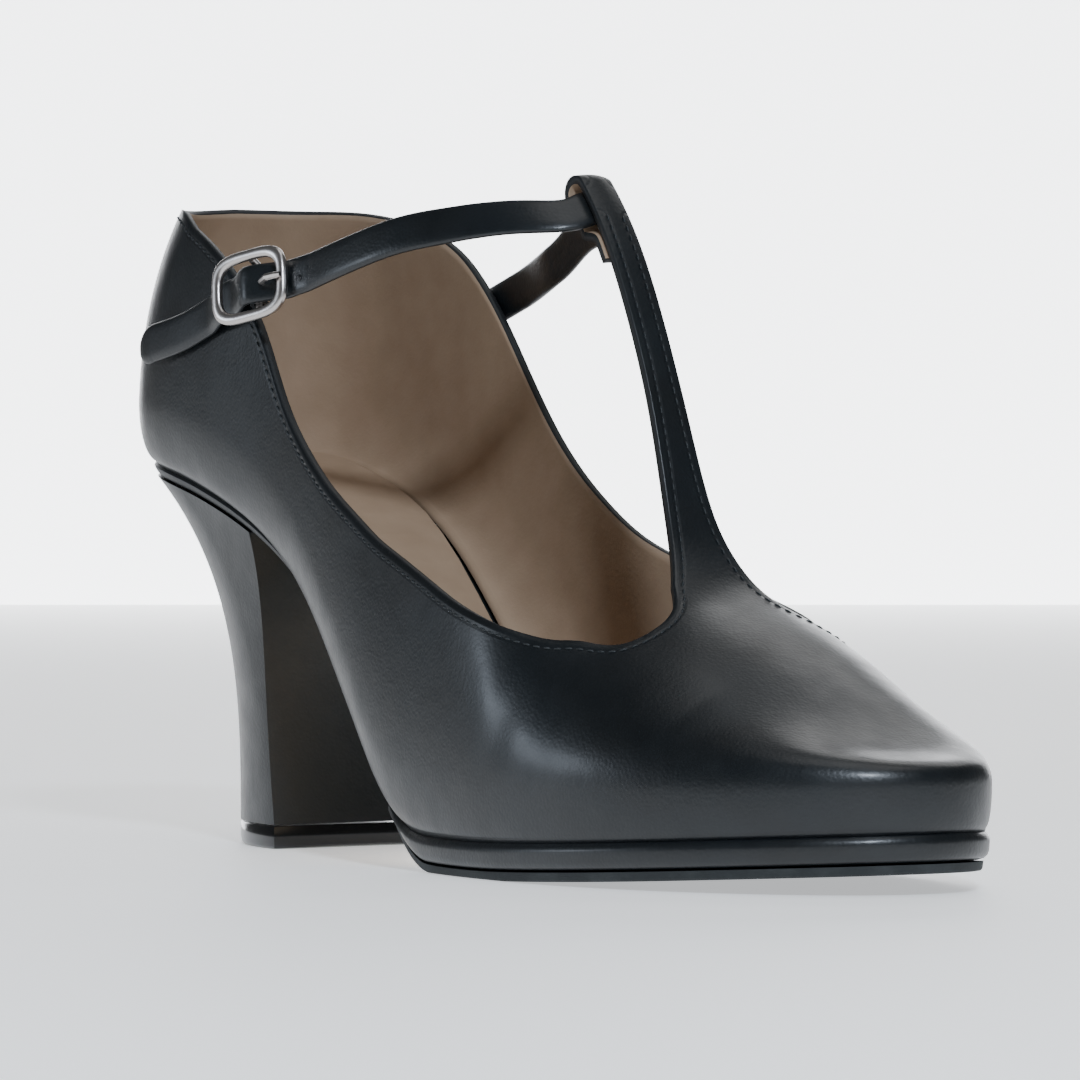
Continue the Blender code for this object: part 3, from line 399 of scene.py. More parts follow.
def ridge_height(x):
    """Height of the ridge over the floor, and its y."""
    over = along(x, RIDGE, "vamp") * VAMP_HEIGHT + along(x, RIDGE, "bar") * BAR_RISE
    return edge_height(x) + over, along(x, RIDGE, "side") * HALF_WIDTH


def section(station, side):
    """The sizes of the upright section that runs from the ridge to the lasted edge."""
    x, y = edge(station, side)
    core_x = np.clip(x, HEEL_X, TOE_X)
    top, core_y = ridge_height(core_x)
    base = edge_height(x)
    reach = np.hypot(x - core_x, y - core_y)
    return {
        "core_x": core_x,
        "core_y": core_y,
        "way_x": (x - core_x) / reach,
        "way_y": (y - core_y) / reach,
        "reach": reach,
        "base": base,
        "top": top - base,
        "swell": along(x, BODY, "swell") * BODY_SWELL,
        "rise": along(x, BODY, "rise") * SWELL_RISE,
        "power": along(x, BODY, "power"),
    }


RIDGE_SLOPE = (ridge_height(TOE_X)[0] - ridge_height(TOE_X - SLOPE_STEP)[0]) / SLOPE_STEP


def last(station, turn):
    """The last: a quarter ellipse from the edge out to the widest line, then a
    rounded-square curve from there up to the ridge. The heel leans forward as it rises, and
    the top of the toe follows the fall of the ridge."""
    station, turn = np.broadcast_arrays(np.asarray(station, float), np.asarray(turn, float))
    s = section(station, np.where(turn < 0, -1.0, 1.0))
    share = 1 - np.abs(turn)
    low = np.clip(share / SWELL_TURN, 0, 1) * QUARTER_TURN
    high = np.clip((share - SWELL_TURN) / (1 - SWELL_TURN), 0, 1) * QUARTER_TURN
    narrowing = np.abs(np.cos(high)) ** (2 / s["power"])
    out = (s["reach"] + s["swell"] * np.sin(low)) * narrowing
    up = s["rise"] * (1 - np.cos(low)) + (s["top"] - s["rise"]) * np.sin(high) ** (2 / s["power"])
    fade = np.clip((LEAN_END_ALONG - s["core_x"] / LENGTH) / LEAN_FADE, 0, 1)
    lean = HEEL_LEAN * fade ** 2 * (3 - 2 * fade) * np.clip(up / BACK_HEIGHT, 0, 1.2) ** 2
    fall = RIDGE_SLOPE * np.clip(s["way_x"] * out, 0, None) * (1 - narrowing ** 2)
    fall = np.where(s["core_x"] >= TOE_X - NEAR, fall, 0.0)
    return np.stack([
        s["core_x"] + s["way_x"] * out + lean,
        s["core_y"] + s["way_y"] * out,
        s["base"] + up + fall,
    ], axis=-1)


def turn_at_height(station, side, up):
    """The turn where the section has risen this far over the lasted edge."""
    s = section(station, side)
    share = np.clip((up - s["rise"]) / (s["top"] - s["rise"]), 0, 1)
    high = np.arcsin(share ** (s["power"] / 2)) / QUARTER_TURN
    return side * (1 - SWELL_TURN - (1 - SWELL_TURN) * high)


def turn_at_reach(station, side, out):
    """The turn where the section is this far out from the ridge."""
    s = section(station, side)
    share = np.clip(out / (s["reach"] + s["swell"]), 0, 1)
    high = np.arccos(share ** (s["power"] / 2)) / QUARTER_TURN
    return side * (1 - SWELL_TURN - (1 - SWELL_TURN) * high)


def normals(station, turn):
    """Outward normals of the last, from small steps along and across it."""
    ahead = last(station + STEP, turn) - last(station - STEP, turn)
    over = last(station, turn + STEP) - last(station, turn - STEP)
    return unit(np.cross(ahead, over))


def grid_faces(rows, columns, closed=False, flip=False):
    """Quads of a grid, whose rows may close into rings."""
    row = np.arange(rows - 1)[:, None]
    column = np.arange(columns if closed else columns - 1)[None, :]
    beside = (column + 1) % columns
    a, b = row * columns + column, row * columns + beside
    faces = np.stack([a, b, b + columns, a + columns], -1).reshape(-1, 4)
    return faces[:, ::-1] if flip else faces


def edge_ways(station, side):
    """Outward directions of the lasted edge in plan."""
    x0, y0 = edge(np.clip(station - STEP, 0, 3), side)
    x1, y1 = edge(np.clip(station + STEP, 0, 3), side)
    way = unit(np.stack([y1 - y0, x0 - x1], -1) * -side)
    way[station <= 0] = (-1, 0)
    way[station >= 3] = (1, 0)
    return way


def throat_place(bend):
    """How far along the foot the front end of an opening lies at each bend."""
    return THROAT_X - THROAT_DEPTH * (1 - np.cos(bend))


def opening_front(side, arc):
    """Distances from the ridge of the two edges of an opening, round its front end."""
    row = int(side > 0)
    turned = spline(np.degrees(arc), QUARTER_ROUND["bend"], QUARTER_ROUND["share"])
    quarter = THROAT["distance"][row] + THROAT["quarter"][row] * turned
    bar = THROAT["distance"][row] - THROAT["bar"][row] * np.sin(arc)
    return quarter, bar


def topline_turn(stations, side):
    """Turn of the top of the quarters, which runs on as an unseen line through the vamp."""
    bends = THROAT_BENDS[:3]
    front = station_at(throat_place(bends))
    turn = turn_at_reach(front, side, opening_front(side, bends)[0])
    x, _ = edge(front, side)
    heights = last(front, turn)[:, 2] - edge_height(x)
    name = "outer" if side < 0 else "inner"
    knots = np.concatenate([TOPLINE["station"], front])
    values = np.concatenate([TOPLINE[name] * BACK_HEIGHT, heights])
    quarter = turn_at_height(stations, side, spline(stations, knots, values))
    place, _ = edge(stations, side)
    bend = np.arccos(np.clip(1 - (THROAT_X - place) / THROAT_DEPTH, -1, 1))
    round_front = turn_at_reach(stations, side, opening_front(side, bend)[0])
    shares = []
    for each in (side, -side):
        s = section(station_at(np.array(THROAT_X)), each)
        shares.append(opening_front(each, 0)[0] / (s["reach"] + s["swell"]))
    to_tip = np.clip((stations - station_at(THROAT_X)) / (3 - station_at(THROAT_X)), 0, 1)
    share = shares[0] + (shares[1] - shares[0]) * to_tip / 2
    own = section(stations, side)
    vamp = turn_at_reach(stations, side, share * (own["reach"] + own["swell"]))
    turn = np.where(stations < front[0], quarter, round_front)
    return np.where(place >= THROAT_X - NEAR, vamp, turn)


def bar_edge(x, side):
    """Distance of the edge of the T-bar from the ridge, wider towards the vamp."""
    bend = np.arccos(np.clip(1 - (THROAT_X - x) / THROAT_DEPTH, np.cos(BAR_BEND), 1))
    start = throat_place(BAR_BEND)
    wide = opening_front(side, BAR_BEND)[1]
    flare = np.clip((x - (start - FLARE_LENGTH)) / FLARE_LENGTH, 0, 1)
    behind = BAR_WIDTH / 2 + (wide - BAR_WIDTH / 2) * flare ** 3
    return np.where(x < start, behind, opening_front(side, bend)[1])


LOOP_X = HEEL_X + (LOOP_STATION - 1) * (BALL_X - HEEL_X)
LOOP_ROUND = STRAP_THICKNESS / 2 + WALL + 2.5 * CLEARANCE


def ridge_path(x):
    """Points and outward normals of the ridge, in its own upright plane."""
    height, _ = ridge_height(x)
    slope = (ridge_height(x + STEP)[0] - ridge_height(x - STEP)[0]) / (2 * STEP)
    return np.stack([x, height], -1), unit(np.stack([-slope, np.ones_like(slope)], -1))


def ridge_places(distances):
    """Places along the ridge at these distances up from the middle of the strap."""
    dense = np.linspace(THROAT_X, LOOP_X - RIDGE_REACH, 400)
    run = run_along(ridge_path(dense)[0])
    middle = np.interp(-LOOP_X, -dense, run)
    return np.interp(middle + np.asarray(distances), run, dense)


def sole_top(x):
    return edge_height(x) - CLEARANCE


def sole_underside(x):
    return sole_top(x) - SOLE_THICKNESS


def platform_underside(x):
    """Level with the waist sole at the join, then down to the full thickness."""
    join = SOLE_JOIN_ALONG * LENGTH
    ease = smooth((x - join) / (SOLE_JOIN_EASE * LENGTH))
    return sole_top(x) - SOLE_THICKNESS - (PLATFORM_THICKNESS - SOLE_THICKNESS) * ease


def tread_top(x):
    return platform_underside(x) - CLEARANCE


def tread_underside(x):
    """A little under its thickness, cut off level where the shoe stands."""
    return np.clip(tread_top(x) - TREAD_THICKNESS - TREAD_FLAT, 0, None)


def strap_route(count=700):
    """Dense stations and turns of the ankle strap, from its tail round to the slit."""
    x, _ = edge(ROUTE["station"], ROUTE["side"])
    up = ROUTE["height"] * BAR_HEIGHT - edge_height(x)
    turn = np.array([
        float(turn_at_height(np.array(station), side, rise))
        for station, side, rise in zip(ROUTE["station"], ROUTE["side"], up)
    ])
    top = int(np.sum(ROUTE["side"] < 0))
    loop = np.full(2, LOOP_STATION)
    straight = turn_at_reach(loop, np.array([-1.0, 1.0]), BAR_WIDTH * STRAIGHT_SHARE)
    stations = np.insert(ROUTE["station"], top, [LOOP_STATION] * 3)
    turns = np.insert(turn, top, [straight[0], 0.0, straight[1]])
    run = run_along(last(stations, turns))
    at = np.linspace(0, run[-1], count)
    return spline(at, run, stations), spline(at, run, turns)


ROUTE_STATIONS, ROUTE_TURNS = strap_route()
ROUTE_POINTS = last(ROUTE_STATIONS, ROUTE_TURNS)
ROUTE_NORMALS = normals(ROUTE_STATIONS, ROUTE_TURNS)
ROUTE_RUN = run_along(ROUTE_POINTS)
OUTER_HALF = ROUTE_TURNS < 0
BUCKLE_RUN = float(np.interp(BUCKLE_STATION, ROUTE_STATIONS[OUTER_HALF], ROUTE_RUN[OUTER_HALF]))
LOOP_RUN = float(ROUTE_RUN[np.argmin(np.abs(ROUTE_TURNS))])
SLIT_RUN = float(np.interp(-SLIT_STATION, -ROUTE_STATIONS[~OUTER_HALF], ROUTE_RUN[~OUTER_HALF]))


def strap_space(distance, offset, across):
    """Places given by the distance in front of the buckle along the strap's route, the
    offset out of the last and the distance across."""
    run = np.asarray(distance) + BUCKLE_RUN
    middle = follow(run, ROUTE_RUN, ROUTE_POINTS)
    normal = unit(follow(run, ROUTE_RUN, ROUTE_NORMALS))
    front = follow(run + WAY_STEP, ROUTE_RUN, ROUTE_POINTS)
    width = unit(np.cross(normal, front - follow(run - WAY_STEP, ROUTE_RUN, ROUTE_POINTS)))
    return middle + normal * np.asarray(offset)[..., None] + width * np.asarray(across)[..., None]


def strap_offsets(distance):
    """Offset of the middle of the strap from the last: on the quarter, up over the tab and
    the centre bar of the buckle, then in under the T-bar and out again onto the quarter."""
    low = CLEARANCE + STRAP_THICKNESS / 2
    over_tab = 2 * TAB_THICKNESS + 3 * CLEARANCE + STRAP_THICKNESS / 2
    side = BUCKLE_LENGTH / 2 - BUCKLE_WIRE / 2
    over_bar = bar_offset() + BAR_RADIUS + TAB_THICKNESS + 2 * CLEARANCE + STRAP_THICKNESS / 2
    front = frame_offset() - side * np.tan(BUCKLE_TURN)
    under_frame = front - BUCKLE_DEPTH / 2 - 2 * CLEARANCE - STRAP_THICKNESS / 2
    inside = -(WALL + 1.5 * CLEARANCE + STRAP_THICKNESS / 2)
    loop = LOOP_RUN - BUCKLE_RUN
    slit = SLIT_RUN - BUCKLE_RUN
    knots = [
        (-TAIL_LENGTH, low + TAIL_LIFT),
        (-TAB_LENGTH - TAB_REAR, low),
        (-TAB_LENGTH + TAB_FRONT, over_tab),
        (-side, over_tab),
        (-BAR_FRONT, over_bar),
        (side, under_frame),
        (side + FRAME_FRONT, under_frame * 0.5),
        (loop - LOOP_REACH, inside),
        (loop + LOOP_REACH, inside),
        (slit - INNER_START, INNER_LIFT),
        (slit - INNER_LANDING, low + LANDING_LIFT),
        (slit, low),
    ]
    places, offsets = (np.array(column) for column in zip(*knots))
    left = np.clip(np.searchsorted(places, distance, side="right") - 1, 0, len(places) - 2)
    part = smooth((distance - places[left]) / (places[left + 1] - places[left]))
    return offsets[left] + (offsets[left + 1] - offsets[left]) * part


def frame_offset():
    """How far the middle of the buckle's frame lies out of the last."""
    return 2 * TAB_THICKNESS + 4 * CLEARANCE + STRAP_THICKNESS + BUCKLE_DEPTH / 2


def bar_offset():
    """How far the middle of the buckle's centre bar lies out of the last."""
    return frame_offset() - BUCKLE_DROP


def buckle_space(ahead, offset, across):
    """Places in the straight frame of the buckle, which is turned in towards its front end."""
    ahead = np.asarray(ahead, float)[..., None]
    offset = np.asarray(offset, float)[..., None]
    across = np.asarray(across, float)[..., None]
    base = strap_space(0.0, 0.0, 0.0)
    out = strap_space(0.0, 1.0, 0.0) - base
    wide = strap_space(0.0, 0.0, 1.0) - base
    on = np.cross(wide, out)
    turned_on = on * np.cos(BUCKLE_TURN) - out * np.sin(BUCKLE_TURN)
    turned_out = out * np.cos(BUCKLE_TURN) + on * np.sin(BUCKLE_TURN)
    centre = base + out * frame_offset()
    return centre + turned_on * ahead + turned_out * (offset - frame_offset()) + wide * across


def linear(colour):
    """Linear values of a colour written as a hex number."""
    parts = [((colour >> shift) & 255) / 255 for shift in (16, 8, 0)]
    return tuple(p / 12.92 if p <= 0.04045 else ((p + 0.055) / 1.055) ** 2.4 for p in parts)


def in_frame(points):
    """Points counted from the back of the seat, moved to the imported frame's origin."""
    return np.asarray(points, float).reshape(-1, 3) - [TIP_MIDDLE, 0, 0]


def add_object(name, data):
    """An object of the scene, at the origin."""
    item = bpy.data.objects.new(name, data)
    bpy.context.scene.collection.objects.link(item)
    return item


def add_piece(name, points, faces, materials, slot, replaced=()):
    """A piece of the shoe from points, counted from the back of the seat, and faces."""
    mesh = bpy.data.meshes.new(name)
    mesh.from_pydata(in_frame(points).tolist(), [], faces)
    for material in materials:
        mesh.materials.append(material)
    piece = add_object(name, mesh)
    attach(piece, "root")
    if replaced:
        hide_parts(*replaced)
    return piece


def finish_piece(piece, merge=True, outward=True):
    """Makes the points that meet one, turns the faces of a closed piece outwards and shades
    it smoothly."""
    mesh = piece.data
    work = bmesh.new()
    work.from_mesh(mesh)
    if merge:
        bmesh.ops.remove_doubles(work, verts=work.verts, dist=MERGE)
        bmesh.ops.dissolve_degenerate(work, edges=work.edges, dist=MERGE / 10)
    if outward:
        bmesh.ops.recalc_face_normals(work, faces=work.faces)
    work.to_mesh(mesh)
    work.free()
    mesh.shade_smooth()
    if merge:
        mesh.set_sharp_from_angle(angle=SHARP)
    return piece


def joined(patches):
    """The points of all patches in one array and their faces in one list."""
    points, faces, count = [], [], 0
    for places, blocks in patches:
        points.append(places.reshape(-1, 3))
        faces += [face for block in blocks for face in (block + count).tolist()]
        count += len(points[-1])
    return np.concatenate(points), faces


def ring_patch(rings, start_cap=True, end_cap=True):
    """Rings of points as a patch whose ends are closed by fans round a middle point."""
    rings = np.asarray(rings, float)
    rows, count = rings.shape[:2]
    points = [rings.reshape(-1, 3)]
    blocks = [grid_faces(rows, count, closed=True)]
    around = np.arange(count)
    for wanted, row in ((start_cap, 0), (end_cap, rows - 1)):
        if wanted:
            centre = np.full(count, rows * count + len(points) - 1)
            points.append(rings[row].mean(0, keepdims=True))
            ring = row * count + around
            blocks.append(np.stack([ring, row * count + (around + 1) % count, centre], -1))
    return np.concatenate(points), blocks


def closed_piece(name, rings, material, slot, replaced=(), start_cap=True, end_cap=True):
    """One closed piece from rings of points."""
    points, faces = joined([ring_patch(rings, start_cap, end_cap)])
    return finish_piece(add_piece(name, points, faces, [material], slot, replaced))


# The upper: the last's surface at a fine step, one wall thick, with soft creases

FINE_BENDS = np.radians(np.linspace(72, 0, 25))
FAR = 0.05
BAR_STEPS = 100
CREASE_FADE = 0.30
# The upper's lower edge lies this much lower than the last's, so that it closes the gap to the
# sole and no light shows through
FEATHER_DROP = 0.0006

# Creases: side, place at the lasted edge, lean (length along per height), where along the
# height its middle lies and how far it runs (shares of the turn), half width and depth
CREASES = table("side start lean middle reach width depth", [
    (-1, 0.157, 0.25, 0.62, 0.32, 0.0034, 0.00013),
    (-1, 0.169, 0.30, 0.55, 0.26, 0.0030, 0.00010),
    (1, 0.158, 0.25, 0.62, 0.32, 0.0034, 0.00015),
    (1, 0.147, 0.15, 0.70, 0.24, 0.0034, 0.00011),
    (-1, 0.066, 0.35, 0.60, 0.30, 0.0065, 0.00010),
    (-1, 0.081, 0.45, 0.66, 0.24, 0.0060, 0.00004),
    (1, 0.066, 0.35, 0.60, 0.30, 0.0055, 0.00028),
    (1, 0.020, 0.10, 0.72, 0.22, 0.0045, 0.00018),
    (-1, 0.020, 0.10, 0.74, 0.20, 0.0045, 0.00018),
])

# The seam of the inner quarter over the vamp: its place at the lasted edge and its lean
SEAM_START = 0.089
SEAM_LEAN = 0.55
SEAM_ROWS = (0.0011, 0.0036)
SEAM_STEP = 0.00060


def relief(points, turn, share):
    """Soft troughs with a low ridge on each flank, at the places of the table. They fade out
    towards the topline, where the share of the way up is 1."""
    height = points[..., 2] - edge_height(points[..., 0])
    total = np.zeros(points.shape[:-1])
    for k in range(len(CREASES["side"])):
        row = {name: column[k] for name, column in CREASES.items()}
        from_line = (points[..., 0] - row["start"] - row["lean"] * height) / row["width"]
        along_line = (np.abs(turn) - row["middle"]) / row["reach"]
        fade = np.clip(1 - along_line ** 2, 0, 1) ** 2 * (np.sign(turn) == row["side"])
        trough = -np.exp(-from_line ** 2) + 0.35 * np.exp(-(np.abs(from_line) - 1.8) ** 2)
        total += row["depth"] * trough * fade
    return total * smooth((1 - share) / CREASE_FADE)


def skin(stations, turn, share):
    """The side of the upper: the last with its creases."""
    points = last(stations, turn)
    return points + normals(stations, turn) * relief(points, turn, share)[..., None]


def fine_stations():
    """Stations of the upper's columns, and those among them that run round the throat."""
    throat = throat_place(FINE_BENDS)
    return np.concatenate([
        np.linspace(0, 1, 44)[:-1],
        station_at(np.linspace(HEEL_X, throat[0], 120)[:-1]),
        station_at(throat),
        station_at(np.linspace(THROAT_X, TOE_X, 26)[1:]),
        np.linspace(station_at(TOE_X), 3, 44)[1:],
    ]), station_at(throat)


def opening_outline(side):
    """The edge that runs from the back of the heel along the topline, round the front of the
    opening and up the T-bar to the strap, as stations and turns."""
    x = throat_place(FINE_BENDS)
    front = station_at(x)
    behind = np.linspace(0, front[0], 500)[:-1]
    quarter = turn_at_reach(front, side, opening_front(side, FINE_BENDS)[0])
    bar_x = np.concatenate([x[::-1][1:], np.linspace(x[0], LOOP_X + STRAP_WIDTH * 0.4, 160)[1:]])
    bar = turn_at_reach(station_at(bar_x), side, bar_edge(bar_x, side))
    stations = np.concatenate([behind, front, station_at(bar_x)])
    turns = np.concatenate([topline_turn(behind, side), quarter, bar])
    return stations, turns


def nearest(points, targets):
    """Distance of each point from the nearest target."""
    flat = points.reshape(-1, 3)
    result = np.empty(len(flat))
    for start in range(0, len(flat), 2000):
        block = flat[start:start + 2000]
        squares = ((block[:, None] - targets[None]) ** 2).sum(-1)
        result[start:start + 2000] = np.sqrt(squares.min(1))
    return result.reshape(points.shape[:-1])


def seam_distance(points, turn):
    """How far in front of the inner side's seam a point lies."""
    height = points[..., 2] - edge_height(points[..., 0])
    gap = (points[..., 0] - SEAM_START - SEAM_LEAN * height) * np.cos(np.arctan(SEAM_LEAN))
    return np.where(turn > 0, gap, FAR)


def bar_skin(rows, throat_stations):
    """The T-bar: up the ridge, over the strap and down behind it, as columns of points."""
    top = STRAP_WIDTH / 2 + CLEARANCE
    top_x = float(ridge_places([top])[0])
    throat_x, _ = edge(throat_stations, 1.0)
    columns = []
    side = np.where(rows < 0, -1.0, 1.0)
    for x in np.concatenate([throat_x[::-1], np.linspace(throat_x[0], top_x, BAR_STEPS)[1:]]):
        station = np.full(len(rows), float(station_at(np.array(x))))
        out = np.abs(rows) * np.array([float(bar_edge(x, way)) for way in side])
        columns.append(last(station, turn_at_reach(station, side, out)))
    path, normal = ridge_path(np.array([top_x]))
    over, facing = path[0], normal[0]
    upward = np.array([-facing[1], facing[0]])
    rounding = (over - columns[-1][:, [0, 2]]) @ facing

    def column(place, centre_y, facing):
        at = place - facing * rounding[:, None]
        return np.stack([at[:, 0], centre_y + rows * BAR_WIDTH / 2, at[:, 1]], -1)

    for bend in np.linspace(0, np.pi, 25)[1:]:
        turned = facing * (np.cos(bend) - 1) + upward * np.sin(bend)
        columns.append(column(over + turned * LOOP_ROUND, ridge_height(top_x)[1], facing))
    length = STRAP_WIDTH + 2 * CLEARANCE + LOOP_TAIL
    closed = 2 * WALL + CLEARANCE
    for run in np.linspace(0, length, 40)[1:]:
        place = ridge_places([top - run])
        path, normal = ridge_path(place)
        ease = smooth((run - STRAP_WIDTH - 4 * CLEARANCE) / TAIL_EASE)
        behind = 2 * LOOP_ROUND + (closed - 2 * LOOP_ROUND) * ease
        columns.append(column(path[0] - normal[0] * behind, ridge_height(place[0])[1], normal[0]))
    return np.array(columns)


def make_upper(leather, lining, edge_leather):
    """The sides, the vamp between them and the T-bar, made one and given the wall."""
    stations, throat_stations = fine_stations()
    outline = np.concatenate([last(*opening_outline(side)) for side in (-1.0, 1.0)])
    patches = []
    for side in (-1.0, 1.0):
        top = topline_turn(stations, side)
        low = np.linspace(0, SWELL_TURN, 9)[:-1]
        shares = np.concatenate([low, np.linspace(SWELL_TURN, 1, 34)])
        turn = side * (1 - (1 - np.abs(top))[:, None] * shares[None, :])
        wide = np.repeat(stations[:, None], len(shares), 1)
        points = skin(wide, turn, shares[None, :])
        points[:, 0, 2] -= FEATHER_DROP
        patches.append((points, grid_faces(*points.shape[:2], flip=side < 0), turn))
    rows = np.linspace(-1, 1, 25)
    vamp = stations[stations >= throat_stations[-1] - NEAR]
    turns = []
    for share in rows:
        side = -1.0 if share < 0 else 1.0
        whole = 1 - np.abs(topline_turn(vamp, side))
        own = section(vamp, side)
        bend = np.clip((whole - SWELL_TURN) / (1 - SWELL_TURN), 0, 1) * QUARTER_TURN
        out = np.abs(np.cos(bend)) ** (2 / own["power"]) * (own["reach"] + own["swell"])
        turns.append(turn_at_reach(vamp, side, np.abs(share) * out))
    turns = np.stack(turns, -1)
    crown = last(np.repeat(vamp[:, None], len(rows), 1), turns)
    patches.append((crown, grid_faces(*crown.shape[:2], flip=True), turns))
    bar = bar_skin(rows, throat_stations)
    patches.append((bar, grid_faces(*bar.shape[:2]), np.zeros(bar.shape[:2])))
    loop_top = bar[len(throat_stations) + BAR_STEPS - 1:]
    edges = np.concatenate([outline, loop_top[:, 0], loop_top[:, -1]])
    points, faces = joined([(places, [quads]) for places, quads, _ in patches])
    materials = [leather, lining, edge_leather]
    piece = add_piece("upper_leather", points, faces, materials, "black_leather", ["upper"])
    from_edge = [nearest(places, edges) for places, _, _ in patches]
    from_seam = [seam_distance(places, turn) for places, _, turn in patches]
    for label, blocks in (("from_edge", from_edge), ("from_seam", from_seam)):
        values = np.concatenate([np.ravel(block) for block in blocks])
        layer = piece.data.attributes.new(label, "FLOAT", "POINT")
        layer.data.foreach_set("value", values.astype(np.float32))
    finish_piece(piece, outward=False)
    wall = piece.modifiers.new("wall", "SOLIDIFY")
    wall.thickness = WALL
    wall.offset = -1
    wall.use_even_offset = False
    wall.material_offset = 1
    wall.material_offset_rim = 2
    return piece


# Stitches

STITCH_INSET = 0.0018
STITCH_PITCH = 0.0021
STITCH_LENGTH = 0.0015
STITCH_RADIUS = 0.00021
SLIT_MARGIN = 0.0016
GROOVE_WIDTH = 0.0006
GROOVE_DEPTH = 0.00010


def on_last(points, station, turn):
    """Stations and turns of the places of the last nearest to points, from near values."""
    for _ in range(5):
        here = last(station, turn)
        by_station = (last(station + STEP, turn) - here) / STEP
        by_turn = (last(station, turn + STEP) - here) / STEP
        gap = points - here
        a = (by_station * by_station).sum(-1)
        b = (by_station * by_turn).sum(-1)
        c = (by_turn * by_turn).sum(-1)
        p = (by_station * gap).sum(-1)
        q = (by_turn * gap).sum(-1)
        scale = a * c - b * b + 1e-12
        station = station + np.clip((c * p - b * q) / scale, -0.05, 0.05)
        turn = turn + np.clip((a * q - b * p) / scale, -0.05, 0.05)
    return station, turn


def even(points, pitch):
    """Fractional indices of places at an even pitch along a path."""
    run = run_along(points)
    count = max(int(run[-1] / pitch), 2)
    return np.interp(np.linspace(0, run[-1], count), run, np.arange(len(points)))


def stitch_row(stations, turns, inset):
    """Stations and turns of a row of stitches at an inset from a path on the last."""
    path = last(stations, turns)
    way = unit(np.gradient(path, axis=0))
    inward = unit(np.cross(normals(stations, turns), way))
    return on_last(path + inward * inset, stations, turns)


def stitches(rows):
    """Small rounded bars of thread that lie on the leather, one for each place."""
    around = circle(6)
    along_bar = np.array([-1, -0.82, 0, 0.82, 1])
    wide_bar = np.array([0.25, 0.8, 1.0, 0.8, 0.25])[:, None] * STITCH_RADIUS
    sink_bar = np.array([-0.9, -0.2, 0.35, -0.2, -0.9])[:, None] * STITCH_RADIUS
    long = (along_bar * STITCH_LENGTH / 2)[:, None, None]
    out = (sink_bar + wide_bar * np.sin(around))[..., None]
    wide = (wide_bar * np.cos(around))[..., None]
    columns = len(around)
    size = len(along_bar) * columns
    quads = grid_faces(len(along_bar), columns, closed=True)
    caps = np.stack([np.arange(columns)[::-1], size - columns + np.arange(columns)])
    patches = []
    for station, turn in rows:
        line = last(station, turn)
        at = even(line, STITCH_PITCH)
        index = np.arange(len(line))
        place = follow(at, index, line)
        ahead = unit(follow(at + 0.5, index, line) - follow(at - 0.5, index, line))
        facing = normals(np.interp(at, index, station), np.interp(at, index, turn))
        across = unit(np.cross(facing, ahead))
        place, ahead, facing, across = (v[:, None, None] for v in (place, ahead, facing, across))
        ring = place + ahead * long + facing * out + across * wide
        starts = np.arange(len(at))[:, None, None] * size
        blocks = [(quads + starts).reshape(-1, 4), (caps + starts).reshape(-1, columns)]
        patches.append((ring, blocks))
    return joined(patches)


def slit_row():
    """The row of stitches that holds the end of the strap under the slit."""
    across = np.linspace(-1, 1, 12) * (STRAP_WIDTH / 2 + SLIT_MARGIN)
    end = np.full_like(across, SLIT_RUN - BUCKLE_RUN + SLIT_MARGIN)
    near = np.full_like(across, SLIT_STATION)
    row = ROUTE_TURNS[np.argmin(np.abs(ROUTE_RUN - SLIT_RUN))]
    return on_last(strap_space(end, np.zeros_like(across), across), near, np.full_like(across, row))


def make_stitches(thread):
    """The rows along the edges of the openings, along the seam and at the slit."""
    rows = []
    for side in (-1.0, 1.0):
        stations, turns = opening_outline(side)
        rows.append(stitch_row(stations[3:], turns[3:], STITCH_INSET * side))
    for inset in SEAM_ROWS:
        height = np.linspace(0.0015, 0.060, 120)
        x = SEAM_START + SEAM_LEAN * height - inset / np.cos(np.arctan(SEAM_LEAN))
        station = station_at(x)
        rise = section(station, 1.0)["rise"]
        below = 1 - SWELL_TURN * np.arccos(np.clip(1 - height / rise, 0, 1)) / QUARTER_TURN
        turn = np.where(height < rise, below, turn_at_height(station, 1.0, height))
        keep = np.abs(turn) > np.abs(topline_turn(station, 1.0)) + 0.004
        rows.append((station[keep], turn[keep]))
    rows.append(slit_row())
    finish_piece(add_piece("stitching", *stitches(rows), [thread], "black_leather"), merge=False)


# Sole pieces, heel and tip at a fine step

def slab_rings(stations, rows):
    """Rings of a sole piece: up the outer side and down the inner. A row gives how far it is
    inset from the lasted edge and its height as a function of x."""
    half = []
    for side in (-1, 1):
        x, y = edge(stations, side)
        way = edge_ways(stations, side)
        line = []
        for inset, height in rows:
            at = x - way[:, 0] * inset
            line.append(np.stack([at, y - way[:, 1] * inset, height(at)], -1))
        half.append(line)
    return np.stack(half[0] + half[1][::-1], axis=1)


# The rims of the sole pieces: inset from the lasted edge, whether the height is counted from
# the top or from the underside, and how far it is off that
WAIST_RIM = table("inset top offset", [
    (0.0100, 0, 0),
    (INK_WIDTH + 0.0001, 0, 0),
    (INK_WIDTH - 0.0001, 0, 0),
    (0.0012, 0, 0),
    (0.0007, 0, 0.0002),
    (0.0003, 0, 0.0007),
    (-0.0001, 0, 0.0013),
    (-0.0003, 1, -0.0009),
    (0.0000, 1, -0.0003),
    (0.0006, 1, 0),
])
PLATFORM_RIM = table("inset top offset", [
    (0.0100, 0, 0),
    (0.0012, 0, 0),
    (0.0002, 0, 0.00025),
    (-0.0004, 0, 0.0008),
    (-0.0007, 0, 0.0016),
])
TREAD_RIM = table("inset top offset", [
    (0.0016, 0, 0),
    (0.0008, 0, 0.0001),
    (0.0005, 0, 0.0004),
    (0.0003, 1, 0),
])


